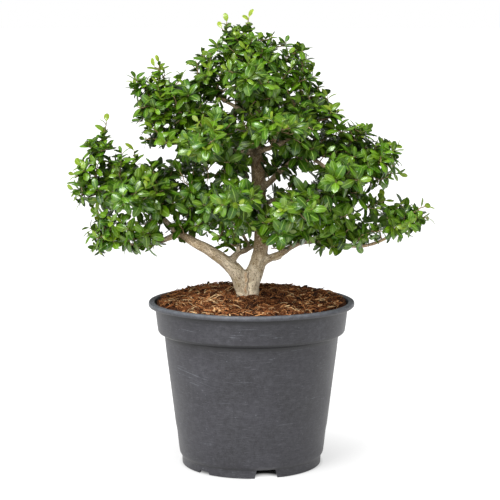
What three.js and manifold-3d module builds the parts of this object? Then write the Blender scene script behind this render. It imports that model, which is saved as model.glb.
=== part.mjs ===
// Small-leaved Japanese holly grown as a bonsai, in a black plastic nursery pot.
// Millimetres, +Z up, +X to the right of the tree's front and -Y towards its viewer.
// The origin is the middle of the pot's foot, on the surface that the pot stands on.

import * as THREE from 'three';
import { mergeVertices } from 'three/addons/utils/BufferGeometryUtils.js';
import Module from 'manifold-3d';

const wasm = await Module();
wasm.setup();

// Driving dimensions

const GAP = 0.35;                 // clear space between two separate pieces
const WIDE_GAP = 0.6;             // the same around the wood and the soil
const SEED = 41;

const POT_HEIGHT = 181.5;
const LIP_RADIUS = 112;           // a pot of 224 mm across its rolled lip, about 5 litres
const LIP_UNDERSIDE = 176;
const LIP_WIDTH = 6.5;
const LIP_ROUNDING = 1.6;
const LIP_BEVEL = 1;              // on the lip's lower outer and upper inner edges
const BAND_RADIUS = 105.2;        // straight band below the lip
const BAND_TAPER = 3.2;
const BAND_BOTTOM = 149.3;
const SHOULDER = 144.6;           // where the band's ledge meets the body
const BODY_TOP_RADIUS = 94.9;
const BODY_BOTTOM_RADIUS = 79.4;
const BODY_BOTTOM = 14;
const FOOT_RADIUS = 76.3;
const FOOT_SPREAD = 0.5;          // the foot is this much wider at its top
const FOOT_HEIGHT = 9;
const FOOT_WIDTH = 2.6;
const WALL = 1.8;
const WALL_RISE = 0.9;            // a sloping wall's inner corners lie this much higher
const FLOOR_UNDERSIDE = 9.8;
const FLOOR_TOP = 11.8;
const FLOOR_INSET = 1.3;          // from the foot's radius in to the floor's inner corner
const POT_SIDES = 40;

const NOTCHES = [                 // degrees from the front (+ to the right), width and height
  [-42, 15.5, 3.6], [12, 22, 9.5], [138, 22, 9.5], [192, 22, 9.5],
];
const NOTCH_LEAN = 1.6;           // how far a notch's side leans in towards its top
const NOTCH_DEPTH = 18;
const DRAIN_HOLES = 6;
const DRAIN_RADIUS = 4.5;
const DRAIN_SIDES = 8;
const DRAIN_CIRCLE = 56;
const DRAIN_DEPTH = 6;

const SOIL_EDGE = 179.2;          // height of the soil where it meets the pot's wall
const SOIL_CROWN = 6.8;           // how far the mound rises above its edge
const SOIL_LEAN = 0.03;           // rise towards the back, mm per mm
const SOIL_FLARE = 0.3;           // how much wider the soil gets beside the lip, mm per mm
const SOIL_RINGS = [96, 82, 64, 46, 28, 0];
const SOIL_SIDES = 20;
const BARK_CHIPS = 16;
const COIR_FIBRES = 4;
const FIBRE = { sides: 3, step: 8 };

const TRUNK = { sides: 10, step: 18 };    // facets round a limb, and length of one along it
const LEG = { sides: 7, step: 18 };
const BOUGH = { sides: 6, step: 28 };
const CROSSING = { sides: 5, step: 14 };
const BRANCH = { sides: 4, step: 40 };
const TWIG = { sides: 3, step: 60 };
const ROOT = { sides: 4, step: 18 };
const SHOOT = { sides: 3, step: 30 };

const LEAF_LENGTH = 18.5;
const LEAF_WIDTH = 9.6;
const LEAF_ARCH = 1.2;            // how far a blade's edges hang below its midrib
const LEAVES_PER_WHORL = 5;
const HUB_RADIUS = 1.5;           // where the leaves of one whorl meet
const HUB_HEIGHT = 1.6;
const CORE_SHARE = 0.5;          // twiggy core of a spray, as a share of its leafy size
const WHORL_SPACING = 14;
const MOST_WHORLS = 9;            // on one spray
const WHORL_SHARE = 190;          // of a spray's width times its height, for each whorl

// Seeded random numbers, so that every run grows the same tree

function randomNumbers(seed) {
  let state = seed >>> 0;
  return () => {
    state = (state + 0x6d2b79f5) >>> 0;
    let mixed = Math.imul(state ^ (state >>> 15), 1 | state);
    mixed = (mixed + Math.imul(mixed ^ (mixed >>> 7), 61 | mixed)) ^ mixed;
    return ((mixed ^ (mixed >>> 14)) >>> 0) / 4294967296;
  };
}

function between(random, low, high) {
  return low + (high - low) * random();
}

// From geometry to solid and back

function toSolid(geometry) {
  const bare = new THREE.BufferGeometry();
  bare.setAttribute('position', geometry.getAttribute('position').clone());
  if (geometry.index) bare.setIndex(geometry.index.clone());
  const welded = mergeVertices(bare, 1e-4);
  const corners = [];
  for (let i = 0; i < welded.index.count; i += 3) {
    const [a, b, c] = [0, 1, 2].map((k) => welded.index.getX(i + k));
    if (a !== b && b !== c && c !== a) corners.push(a, b, c);
  }
  return new wasm.Manifold(new wasm.Mesh({
    numProp: 3,
    vertProperties: new Float32Array(welded.getAttribute('position').array),
    triVerts: new Uint32Array(corners),
  }));
}

function toGeometry(solid) {
  const mesh = solid.getMesh();
  const geometry = new THREE.BufferGeometry();
  geometry.setAttribute('position', new THREE.Float32BufferAttribute(mesh.vertProperties, 3));
  geometry.setIndex(Array.from(mesh.triVerts));
  geometry.computeVertexNormals();
  return geometry;
}

// Joins and cuts leave slivers: triangles with a side or a height under these. They are dropped
// in rounds, each of which may move the surface by no more than its own step.
const SHORTEST_SIDE = 0.012;
const LOWEST_HEIGHT = 0.003;
const SLIVER_STEPS = [0.04, 0.08, 0.12, 0.12, 0.16];

function countSlivers(solid) {
  let count = 0;
  const { vertProperties, triVerts } = solid.getMesh();
  const corner = (k) => new THREE.Vector3().fromArray(vertProperties, 3 * triVerts[k]);
  for (let k = 0; k < triVerts.length; k += 3) {
    const [a, b, c] = [corner(k), corner(k + 1), corner(k + 2)];
    const sides = [a.distanceTo(b), b.distanceTo(c), c.distanceTo(a)];
    const doubleArea = b.sub(a).cross(c.sub(a)).length();
    const height = doubleArea / Math.max(...sides);
    if (Math.min(...sides) < SHORTEST_SIDE || height < LOWEST_HEIGHT) count += 1;
  }
  return count;
}

function cleaned(solid) {
  let clean = solid;
  for (const step of SLIVER_STEPS) {
    clean = toSolid(toGeometry(clean.simplify(step)));
    if (countSlivers(clean) === 0) break;
  }
  return clean;
}

function largestBody(solid) {
  const bodies = solid.decompose();
  return bodies.reduce((best, body) => (body.volume() > best.volume() ? body : best));
}

function join(solids) {
  return solids.reduce((whole, solid) => whole.add(solid));
}

function boxesMeet(a, b) {
  const first = a.boundingBox();
  const second = b.boundingBox();
  return [0, 1, 2].every((k) => first.min[k] <= second.max[k] && second.min[k] <= first.max[k]);
}

function solidsMeet(a, b) {
  return boxesMeet(a, b) && !a.intersect(b).isEmpty();
}

// A solid turned round +Z from a profile of [radius, height] points

function turned(profile, sides) {
  const points = profile.map(([radius, height]) => new THREE.Vector2(radius, height));
  const geometry = new THREE.LatheGeometry(points, sides);
  geometry.rotateX(Math.PI / 2);
  return geometry;
}

// A tapering limb through [x, y, z, radius] points, closed at both ends

function routeCurve(route) {
  return new THREE.CatmullRomCurve3(route.map(([x, y, z]) => new THREE.Vector3(x, y, z)));
}

function ringCount(curve, step) {
  return Math.max(1, Math.round(curve.getLength() / step));
}

function limb(route, { sides, step }, grow = 0) {
  const curve = routeCurve(route);
  const rings = ringCount(curve, step);
  const frames = curve.computeFrenetFrames(rings);
  const positions = [];
  const index = [];
  for (let ring = 0; ring <= rings; ring++) {
    const along = ring / rings;
    const centre = curve.getPointAt(along);
    const place = curve.getUtoTmapping(along) * (route.length - 1);
    const from = Math.min(Math.floor(place), route.length - 2);
    const radius = THREE.MathUtils.lerp(route[from][3], route[from + 1][3], place - from) + grow;
    for (let side = 0; side < sides; side++) {
      const angle = (2 * Math.PI * side) / sides;
      const point = centre.clone()
        .addScaledVector(frames.normals[ring], radius * Math.cos(angle))
        .addScaledVector(frames.binormals[ring], radius * Math.sin(angle));
      positions.push(point.x, point.y, point.z);
    }
  }
  const foot = curve.getPointAt(0).addScaledVector(frames.tangents[0], -grow);
  const tip = curve.getPointAt(1).addScaledVector(frames.tangents[rings], grow);
  positions.push(foot.x, foot.y, foot.z, tip.x, tip.y, tip.z);
  const footCorner = (rings + 1) * sides;
  for (let side = 0; side < sides; side++) {
    const next = (side + 1) % sides;
    for (let ring = 0; ring < rings; ring++) {
      const low = ring * sides;
      const high = low + sides;
      index.push(low + side, low + next, high + side);
      index.push(low + next, high + next, high + side);
    }
    index.push(footCorner, next, side);
    index.push(footCorner + 1, rings * sides + side, rings * sides + next);
  }
  const geometry = new THREE.BufferGeometry();
  geometry.setAttribute('position', new THREE.Float32BufferAttribute(positions, 3));
  geometry.setIndex(index);
  return geometry;
}

// Pot: thin wall, ledge under a straight band, rolled lip, raised floor on a notched foot

function insideWall() {
  return [
    [BAND_RADIUS - WALL, LIP_UNDERSIDE],
    [BAND_RADIUS - BAND_TAPER - WALL, BAND_BOTTOM + WALL_RISE],
    [BODY_TOP_RADIUS - WALL, SHOULDER + WALL_RISE],
    [BODY_BOTTOM_RADIUS - WALL, BODY_BOTTOM + WALL_RISE],
    [FOOT_RADIUS - FLOOR_INSET, FLOOR_TOP],
    [0, FLOOR_TOP],
  ];
}

function potProfile() {
  const footInside = FOOT_RADIUS - FOOT_WIDTH;
  const lipInside = LIP_RADIUS - LIP_WIDTH;
  return [
    [0, FLOOR_UNDERSIDE],
    [footInside, FLOOR_UNDERSIDE],
    [footInside, 0],
    [FOOT_RADIUS, 0],
    [FOOT_RADIUS + FOOT_SPREAD, FOOT_HEIGHT],
    [BODY_BOTTOM_RADIUS, BODY_BOTTOM],
    [BODY_TOP_RADIUS, SHOULDER],
    [BAND_RADIUS - BAND_TAPER, BAND_BOTTOM],
    [BAND_RADIUS, LIP_UNDERSIDE],
    [LIP_RADIUS - LIP_BEVEL, LIP_UNDERSIDE],
    [LIP_RADIUS, LIP_UNDERSIDE + LIP_ROUNDING],
    [LIP_RADIUS, POT_HEIGHT - LIP_ROUNDING],
    [LIP_RADIUS - LIP_ROUNDING, POT_HEIGHT],
    [lipInside + LIP_BEVEL, POT_HEIGHT],
    [lipInside, POT_HEIGHT - LIP_BEVEL],
    ...insideWall(),
  ];
}

function aroundPot(geometry, degreesFromFront, radius) {
  const angle = THREE.MathUtils.degToRad(degreesFromFront);
  geometry.rotateZ(angle);
  geometry.translate(radius * Math.sin(angle), -radius * Math.cos(angle), 0);
  return geometry;
}

function notchCutter(degreesFromFront, width, height) {
  const below = 1;
  const halfWidth = width / 2;
  const outline = new THREE.Shape([
    new THREE.Vector2(-halfWidth, -below),
    new THREE.Vector2(halfWidth, -below),
    new THREE.Vector2(halfWidth - NOTCH_LEAN, height),
    new THREE.Vector2(-halfWidth + NOTCH_LEAN, height),
  ]);
  const geometry = new THREE.ExtrudeGeometry(
    outline, { depth: NOTCH_DEPTH, bevelEnabled: false, steps: 1 });
  geometry.rotateX(Math.PI / 2);
  geometry.translate(0, NOTCH_DEPTH / 2, 0);
  return aroundPot(geometry, degreesFromFront, FOOT_RADIUS);
}

function drainCutter(degreesFromFront) {
  const geometry = new THREE.CylinderGeometry(
    DRAIN_RADIUS, DRAIN_RADIUS, DRAIN_DEPTH, DRAIN_SIDES);
  geometry.rotateX(Math.PI / 2);
  geometry.translate(0, 0, (FLOOR_UNDERSIDE + FLOOR_TOP) / 2);
  return aroundPot(geometry, degreesFromFront, DRAIN_CIRCLE);
}

function makePot() {
  let pot = toSolid(turned(potProfile(), POT_SIDES));
  for (const notch of NOTCHES) pot = pot.subtract(toSolid(notchCutter(...notch)));
  for (let hole = 0; hole < DRAIN_HOLES; hole++) {
    pot = pot.subtract(toSolid(drainCutter((360 * hole) / DRAIN_HOLES)));
  }
  return pot;
}

// Wood: one trunk that forks low into a leg to the left, its boughs, and roots in the soil.
// Every route is a list of [x, y, z, radius] points from its thick end.

const TRUNK_ROUTE = [
  [-4, 0, 138, 2.5], [-4, 0, 160, 8], [-4, 0, 178, 12.2], [-3.6, 0, 187, 11.8],
  [-1.8, 0, 199, 11], [3.2, 0, 211, 9.7], [6.9, 0, 221, 8.8], [9.8, 0, 235, 8.2],
  [11.2, 2, 252, 8],
  [10.2, 6, 273, 8], [8, 10, 295, 7.9], [8, 12, 311, 7.8], [5.5, 12, 333, 7.2],
  [3.5, 10, 349, 6.6], [4, 6, 371, 5.6], [5, 2, 392, 4.8], [9, 0, 411, 4.1], [7, 1.5, 433, 3.2],
  [1, 4, 452, 2.2],
];
const LEG_ROUTE = [
  [-6, 0, 182, 8.5], [-10, -1, 198, 9.6], [-15.2, -2, 210, 8.9], [-21.5, -3, 217.2, 7.9],
  [-28, -4, 223, 7.1], [-36, -5, 229.3, 6.6], [-47, -7, 236.8, 6.1], [-60, -8, 243.8, 5.3],
  [-73, -6, 251, 4.4], [-84, -4, 254, 3.8],
];
const ROOT_ROUTES = [
  [[-10, -4, 183, 4.6], [-21, -9, 179, 3], [-33, -15, 170, 1.5]],
  [[1, -6, 183, 4.6], [8, -16, 179, 3], [14, -27, 170, 1.4]],
  [[2, 2, 183, 4.6], [13, 6, 179.5, 3], [28, 10, 171, 1.5]],
  [[-4, 7, 185, 4.4], [-8, 19, 182, 3], [-14, 32, 173, 1.5]],
  [[-10, 4, 184, 4.4], [-20, 10, 181, 3], [-34, 18, 172, 1.5]],
];
const BOUGH_ROUTES = [
  // left leg's two arms
  [[-80, -4, 253.5, 3.6], [-99, -10, 246.5, 2.9], [-115, -16, 243, 2.5], [-131, -20, 244, 2.1],
    [-154, -14, 254, 1.5]],
  [[-80, -4, 253.5, 3.5], [-88, 0, 262, 3], [-97, 1, 270, 2.7], [-108, 2, 277, 2.4],
    [-127, 0, 285, 2.1], [-148, -4, 294, 1.8], [-172, -9, 304, 1.3]],
  // low right bough
  [[8, 0, 219, 6], [14, -1, 223.8, 5], [20, -2, 226.8, 4.2], [32, -4, 232, 3.7],
    [39, -5, 237, 3], [51, -7, 243.6, 2.5], [68, -10, 246.5, 2.4], [94, -10, 243, 2.2],
    [109, -8, 241, 1.9], [123, -6, 241, 1.8], [140, -4, 246, 1.6], [156, -2, 255, 1.4],
    [174, 0, 268, 1]],
  // rising right bough, and the one below it
  [[9, 11, 300, 4.2], [18, 8, 307, 3.4], [30, 4, 320, 3.1], [42, 0, 331, 2.8],
    [60, -4, 339, 2.4], [78, -2, 342, 2.1], [100, 2, 338, 1.8], [130, 2, 336, 1.2]],
  [[10, 10, 283, 3.2], [26, 14, 289, 2.6], [51, 13.4, 292, 2.3], [74, 10, 293, 2.1],
    [104, 2, 299, 1.3]],
  // bough that crosses the front of the trunk
  [[4, 9, 340, 3.6], [8, -6, 344, 3], [24, -20, 350, 2.7], [39, -28, 358, 2.3],
    [50, -34, 370, 1.6], [74, -8, 377, 1]],
  // left middle, lower left middle and upper left
  [[3, 10, 342, 3.6], [-6, 4, 342, 3.2], [-17, 0, 343, 2.8], [-32, -6, 349, 2.5],
    [-49, -10, 360, 2.2], [-74, -12, 384, 1.8], [-106, -2, 397, 1.2]],
  [[3, 9, 336, 2.6], [-12, -8, 332, 2.2], [-29, -30, 334, 1.9], [-48, -28, 340, 1.6],
    [-76, -20, 355, 1.1]],
  [[4, 6, 372, 3], [-6, 0, 384, 2.5], [-25, -2, 396, 2], [-44, 6, 406, 1.6],
    [-60, 10, 413, 1.1]],
  // top right
  [[6, 2, 396, 2.8], [24, 2, 406, 2.3], [40, 0, 418, 1.8], [60, 0, 402, 1.1]],
];
const CROSSING_ROUTES = [
  // off the left leg, behind the trunk and out to the low back right
  [[-26, -4, 219, 4.6], [-20.5, -2, 225.8, 4.3], [-14.4, 3, 231.8, 3.5], [-7, 9, 233.9, 2.8],
    [1, 16, 237, 2.4], [20, 44, 250, 2.2], [56, 104, 263, 1.2]],
  // thin upright off the back of that branch
  [[-2, 14, 236, 2], [-8, 13, 248, 1.7], [-19, 8, 264, 1.5], [-34, 0, 279, 1.3],
    [-50, -5, 290, 1]],
];
const BRANCH_ROUTES = [
  // back boughs
  [[10, 8, 268, 3.4], [-6, 40, 270, 2.7], [-26, 74, 272, 2.1], [-52, 103, 272, 1.2]],
  [[5, 13, 330, 3.2], [0, 46, 340, 2.6], [-8, 80, 346, 2], [-18, 106, 347, 1.2]],
  [[4, 8, 362, 3], [18, 40, 372, 2.4], [34, 74, 377, 1.8], [46, 98, 376, 1.2]],
  [[4, 8, 356, 2.8], [-18, 40, 366, 2.3], [-44, 68, 372, 1.8], [-66, 90, 373, 1.2]],
  [[6, 2, 404, 2.6], [5, 24, 418, 2], [2, 58, 431, 1.2]],
  [[60, -3, 339, 2.2], [78, 26, 338, 1.9], [96, 58, 337, 1.5], [109, 80, 336, 1]],
  [[-97, 1, 270, 2.4], [-108, 24, 284, 2], [-119, 50, 294, 1.5], [-128, 70, 299, 1]],
  // front boughs
  [[10, 4, 276, 3.2], [2, -28, 290, 2.6], [-8, -66, 300, 2], [-20, -104, 304, 1.2]],
  [[32, -4, 234, 3], [38, -32, 256, 2.4], [44, -68, 280, 1.9], [50, -104, 293, 1.2]],
  [[22, -19, 350, 2.4], [26, -46, 364, 2], [30, -78, 374, 1.6], [33, -106, 378, 1.1]],
  [[-30, -5, 348, 2.4], [-38, -34, 355, 2], [-44, -66, 360, 1.6], [-49, -98, 361, 1.1]],
  [[7, 0, 400, 2.6], [4, -28, 410, 2.1], [-2, -60, 421, 1.6], [-6, -90, 427, 1]],
  [[62, -4, 339, 2.2], [74, -28, 332, 1.9], [86, -56, 326, 1.5], [96, -80, 324, 1]],
  [[-99, 1, 271, 2.4], [-108, -24, 284, 2], [-118, -50, 297, 1.5], [-128, -76, 304, 1]],
];
const STUB_ROUTES = [
  [[-6.5, -3, 204, 4.4], [-4.8, -5, 213, 3.3]],
  [[-14, 3, 232, 3], [-14.5, 4, 237, 2.3], [-13.5, 4, 245, 1.5]],
  [[24, -2, 227, 3.7], [32, -4, 229.6, 3.3]],
];

// Leafy sprays: middle and half sizes of each cloud of leaves, [x, y, z, rx, ry, rz]

const SPRAYS = {
  left_low: [[-154, -12, 260, 23, 26, 24], [-125, -20, 259, 27, 27, 20]],
  left_tip: [[-170, -10, 302, 25, 26, 20], [-138, 0, 319, 28, 30, 26], [-160, -8, 343, 18, 20, 22]],
  left_mid: [[-107, -20, 307, 28, 30, 26], [-81, 0, 306, 30, 28, 30]],
  left_inner: [[-50, -6, 288, 27, 28, 20], [-64, 2, 263, 25, 22, 15],
    [-31, -18, 325, 37, 24, 15], [-27, -20, 257, 20, 22, 12]],
  centre_low: [[-9, -48, 282, 25, 30, 28], [22, -50, 270, 28, 28, 21]],
  right_low: [[55, -28, 268, 28, 30, 21], [89, -14, 275, 28, 30, 26], [112, -8, 257, 25, 24, 15]],
  right_tip: [[142, -2, 268, 27, 26, 16], [172, 0, 270, 22, 22, 13]],
  right_mid: [[98, 4, 333, 28, 32, 28], [132, 2, 333, 29, 30, 28], [100, 4, 298, 34, 28, 15],
    [103, -4, 363, 27, 24, 13]],
  right_inner: [[65, -20, 346, 25, 26, 19], [50, -14, 303, 28, 28, 13]],
  centre_mid: [[11, -55, 372, 27, 28, 25], [47, -34, 371, 28, 30, 25], [76, -6, 375, 21, 26, 24],
    [30, 14, 330, 22, 24, 17]],
  left_up: [[-107, 0, 400, 26, 28, 28], [-74, -9, 398, 30, 30, 29], [-76, -20, 357, 28, 26, 16],
    [-103, -4, 367, 24, 26, 18]],
  left_up_inner: [[-39, -46, 374, 27, 30, 27], [-29, -40, 337, 19, 20, 12],
    [-60, 10, 415, 19, 20, 13]],
  top: [[-39, -6, 433, 29, 28, 28], [-13, 0, 458, 25, 25, 22], [20, 2, 448, 28, 26, 23],
    [46, 0, 433, 23, 28, 27], [66, 0, 400, 18, 22, 20], [5, -48, 414, 29, 26, 19],
    [38, -12, 402, 25, 26, 14]],
  back: [[-53, 105, 272, 32, 30, 18], [59, 108, 264, 35, 30, 18], [-18, 108, 347, 30, 28, 17],
    [46, 100, 375, 32, 30, 20], [-67, 92, 373, 27, 28, 20], [1, 62, 433, 31, 28, 24],
    [109, 82, 336, 27, 28, 20], [-128, 72, 300, 29, 28, 18]],
  front: [[-20, -106, 304, 27, 30, 17], [50, -106, 294, 29, 30, 17], [33, -108, 378, 26, 28, 17],
    [-49, -100, 361, 27, 28, 16], [-6, -92, 428, 24, 24, 18], [96, -82, 324, 25, 28, 17],
    [-128, -78, 305, 27, 28, 17]],
};

// Tips of the shoots that stand out of the clouds

const SHOOT_TIPS = [
  [-158, -8, 384], [-103, 2, 446], [-28, -4, 486], [-4, 2, 490], [54, 0, 462], [98, -4, 390],
  [165, 0, 350], [168, 4, 318], [150, -2, 294], [198, 0, 284], [198, 0, 266], [-202, -12, 308],
  [-126, 4, 352], [-184, -14, 236], [-104, -20, 236], [4, 150, 352], [-10, -150, 372],
];

const CANOPY_MIDDLE = new THREE.Vector3(0, 0, 330);

function makeSprayList() {
  const sprays = [];
  for (const [group, clouds] of Object.entries(SPRAYS)) {
    clouds.forEach(([x, y, z, rx, ry, rz], place) => {
      sprays.push({
        name: `spray_${group}_${place + 1}`,
        middle: new THREE.Vector3(x, y, z),
        half: new THREE.Vector3(rx, ry, rz),
      });
    });
  }
  return sprays;
}

// Twigs that the routes above don't reach: from the nearest wood to a spray's middle

function twigRoutes(sprays, limbs) {
  const nearestTo = (middle, points) => points.reduce((best, point) => (
    point.distanceTo(middle) < best.distanceTo(middle) ? point : best));
  const curves = limbs.map(([route, form]) => [routeCurve(route), form.step]);
  const finePoints = curves.flatMap(([curve]) => curve.getSpacedPoints(40));
  const ringMiddles = curves.flatMap(([curve, step]) => (
    curve.getSpacedPoints(ringCount(curve, step))));
  const routes = [];
  for (const { middle, half } of sprays) {
    const reach = nearestTo(middle, finePoints).distanceTo(middle);
    if (reach < CORE_SHARE * Math.min(half.x, half.y, half.z)) continue;
    const start = nearestTo(middle, ringMiddles);
    routes.push([[...start, 1.8], [...start.clone().lerp(middle, 1.05), 1.2]]);
  }
  return routes;
}

function makeWood(sprays, grow = 0) {
  const grown = [
    [TRUNK_ROUTE, TRUNK],
    [LEG_ROUTE, LEG],
    ...BOUGH_ROUTES.map((route) => [route, BOUGH]),
    ...CROSSING_ROUTES.map((route) => [route, CROSSING]),
    ...BRANCH_ROUTES.map((route) => [route, BRANCH]),
  ];
  const limbs = [
    ...grown,
    ...ROOT_ROUTES.map((route) => [route, ROOT]),
    ...STUB_ROUTES.map((route) => [route, BOUGH]),
    ...twigRoutes(sprays, grown).map((route) => [route, TWIG]),
  ];
  return join(limbs.map(([route, form]) => toSolid(limb(route, form, grow))));
}

// Soil: a mound of coir and bark that fills the pot, with a plain hole for trunk and roots

function soilHeight(x, y) {
  const reach = Math.min(1, Math.hypot(x, y) / BAND_RADIUS);
  const lumps = 0.9 * Math.sin(0.11 * x + 1.3) * Math.cos(0.13 * y - 0.4)
    + 0.7 * Math.sin(0.23 * x - 0.17 * y);
  return SOIL_EDGE + SOIL_CROWN * (1 - reach ** 2) + SOIL_LEAN * y * (1 - reach ** 3)
    + lumps * (1 - reach ** 4);
}

function soilMound() {
  const outside = insideWall().reverse().map(([radius, height]) => (
    [Math.max(0, radius - WIDE_GAP), height + WIDE_GAP]));
  const edgeRadius = BAND_RADIUS - WALL + SOIL_FLARE * (SOIL_EDGE - LIP_UNDERSIDE) - WIDE_GAP;
  const top = [edgeRadius, ...SOIL_RINGS].map((radius) => [radius, SOIL_EDGE]);
  const geometry = turned([...outside, ...top], SOIL_SIDES);
  const position = geometry.getAttribute('position');
  for (let i = 0; i < position.count; i++) {
    if (Math.abs(position.getZ(i) - SOIL_EDGE) > 1e-3) continue;
    position.setZ(i, soilHeight(position.getX(i), position.getY(i)));
  }
  return toSolid(geometry);
}

function scatterOnSoil(random, innermost, outermost) {
  const angle = between(random, 0, 2 * Math.PI);
  const radius = Math.sqrt(between(random, innermost ** 2, outermost ** 2));
  const x = radius * Math.cos(angle);
  const y = radius * Math.sin(angle);
  return new THREE.Vector3(x, y, soilHeight(x, y));
}

function barkChip(random) {
  const place = scatterOnSoil(random, 24, 92);
  const chip = new THREE.BoxGeometry(
    between(random, 8, 15), between(random, 3.5, 6), between(random, 2.4, 4));
  chip.rotateX(between(random, -0.4, 0.4));
  chip.rotateY(between(random, -0.3, 0.3));
  chip.rotateZ(between(random, 0, Math.PI));
  chip.translate(place.x, place.y, place.z + 0.4);
  return chip;
}

function coirFibre(random) {
  const place = scatterOnSoil(random, 26, 88);
  const heading = between(random, 0, 2 * Math.PI);
  const span = between(random, 7, 12);
  const along = (share, rise) => [
    place.x + span * share * Math.cos(heading),
    place.y + span * share * Math.sin(heading),
    place.z + rise,
    0.8,
  ];
  return limb([along(-1, -3), along(0, 2.6), along(1, -3)], FIBRE);
}

function makeSoil(woodHole) {
  const random = randomNumbers(SEED + 2);
  const pieces = [soilMound()];
  for (let i = 0; i < BARK_CHIPS; i++) pieces.push(toSolid(barkChip(random)));
  for (let i = 0; i < COIR_FIBRES; i++) pieces.push(toSolid(coirFibre(random)));
  return largestBody(join(pieces).subtract(woodHole));
}

// One whorl of leaves on a shoot tip as a single closed skin. Its axis is +Z, the leaves
// meet in a small hub at the origin, and the shoot below runs down to a point. A blade is
// widest past its middle, blunt at its tip, ridged along its midrib and hollow below.

function whorlGeometry({ leaves, size, turn, spreads, rootDepth, grow = 0 }) {
  const length = LEAF_LENGTH * size + grow;
  const halfWidth = (LEAF_WIDTH * size) / 2 + grow;
  const hub = HUB_RADIUS + grow;
  const positions = [0, 0, HUB_HEIGHT + grow, 0, 0, -rootDepth];
  const index = [];
  const step = (2 * Math.PI) / leaves;
  for (let leaf = 0; leaf < leaves; leaf++) {
    const angle = turn + (leaf - 0.5) * step;
    positions.push(hub * Math.cos(angle), hub * Math.sin(angle), 0);
  }
  const corners = [
    [0.55 * length, -halfWidth, -LEAF_ARCH],
    [0.94 * length, -0.45 * halfWidth, -0.5 * LEAF_ARCH],
    [0.99 * length, 0.36 * halfWidth, -0.6 * LEAF_ARCH],
    [0.62 * length, halfWidth, -LEAF_ARCH],
  ];
  for (let leaf = 0; leaf < leaves; leaf++) {
    const angle = turn + leaf * step;
    const spread = spreads[leaf % spreads.length];
    const out = new THREE.Vector3(
      Math.cos(angle) * Math.sin(spread), Math.sin(angle) * Math.sin(spread), Math.cos(spread));
    const side = new THREE.Vector3(-Math.sin(angle), Math.cos(angle), 0);
    const up = out.clone().cross(side);
    const first = positions.length / 3;
    for (const [along, across, above] of corners) {
      const point = out.clone().multiplyScalar(along)
        .addScaledVector(side, across)
        .addScaledVector(up, above);
      positions.push(point.x, point.y, point.z);
    }
    const [right, rightTip, leftTip, left] = [first, first + 1, first + 2, first + 3];
    const before = 2 + leaf;
    const after = 2 + ((leaf + 1) % leaves);
    const edge = [before, right, rightTip, leftTip, left, after];
    for (let k = 0; k < edge.length - 1; k++) index.push(0, edge[k], edge[k + 1]);
    index.push(before, rightTip, right);
    index.push(before, leftTip, rightTip);
    index.push(before, after, leftTip);
    index.push(after, left, leftTip);
    index.push(after, before, 1);
  }
  const geometry = new THREE.BufferGeometry();
  geometry.setAttribute('position', new THREE.Float32BufferAttribute(positions, 3));
  geometry.setIndex(index);
  return geometry;
}

function placedWhorl(shape, place, axis, grow) {
  const geometry = whorlGeometry({ ...shape, grow });
  const turnToAxis = new THREE.Quaternion().setFromUnitVectors(new THREE.Vector3(0, 0, 1), axis);
  geometry.applyQuaternion(turnToAxis);
  geometry.translate(place.x, place.y, place.z);
  return toSolid(geometry);
}

// The dense twiggy heart of a spray: a small lumpy ellipsoid that the whorls stand out of

function sprayCore(spray, random) {
  const geometry = new THREE.SphereGeometry(1, 6, 4);
  geometry.rotateX(Math.PI / 2);
  const turn = between(random, 0, Math.PI);
  const core = mergeVertices(stripped(geometry), 1e-4);
  const position = core.getAttribute('position');
  const point = new THREE.Vector3();
  for (let i = 0; i < position.count; i++) {
    point.fromBufferAttribute(position, i);
    point.applyAxisAngle(new THREE.Vector3(0, 0, 1), turn);
    point.multiplyScalar(CORE_SHARE * between(random, 0.84, 1.16));
    point.multiply(spray.half).add(spray.middle);
    position.setXYZ(i, point.x, point.y, point.z);
  }
  return core;
}

function stripped(geometry) {
  geometry.deleteAttribute('normal');
  geometry.deleteAttribute('uv');
  return geometry;
}

function grownCore(core, middle) {
  const share = 1.03;
  const geometry = core.clone();
  geometry.translate(-middle.x, -middle.y, -middle.z);
  geometry.scale(share, share, share);
  geometry.translate(middle.x, middle.y, middle.z);
  return toSolid(geometry);
}

function insideShare(point, spray) {
  return point.clone().sub(spray.middle).divide(spray.half).length();
}

// Where whorls may stand on a spray: spread evenly over its core by the golden angle, off its
// underside and not inside a neighbour. Those that face out of the tree, forwards, backwards
// or up come first.

function whorlSites(spray, sprays, random) {
  const candidates = 40;
  const goldenAngle = Math.PI * (3 - Math.sqrt(5));
  const turn = between(random, 0, 2 * Math.PI);
  const outward = spray.middle.clone().sub(CANOPY_MIDDLE).normalize();
  const sites = [];
  for (let i = 0; i < candidates; i++) {
    const height = 1 - (2 * (i + 0.5)) / candidates;
    const ring = Math.sqrt(1 - height ** 2);
    const angle = turn + i * goldenAngle;
    const direction = new THREE.Vector3(ring * Math.cos(angle), ring * Math.sin(angle), height);
    const normal = direction.clone().divide(spray.half).normalize();
    if (normal.z < -0.5) continue;
    const place = direction.clone().multiply(spray.half).multiplyScalar(CORE_SHARE * 0.93)
      .add(spray.middle);
    const leafEnd = place.clone().addScaledVector(normal, 9);
    if (sprays.some((other) => other !== spray && insideShare(leafEnd, other) < 0.7)) continue;
    const axis = normal.clone().multiplyScalar(0.85);
    axis.z += 0.25;
    axis.normalize();
    const order = 0.5 * normal.dot(outward) + 0.5 * Math.abs(normal.y) + 0.3 * normal.z
      + between(random, 0, 0.6);
    sites.push({ place, axis, order });
  }
  return sites.sort((a, b) => b.order - a.order);
}

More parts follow.
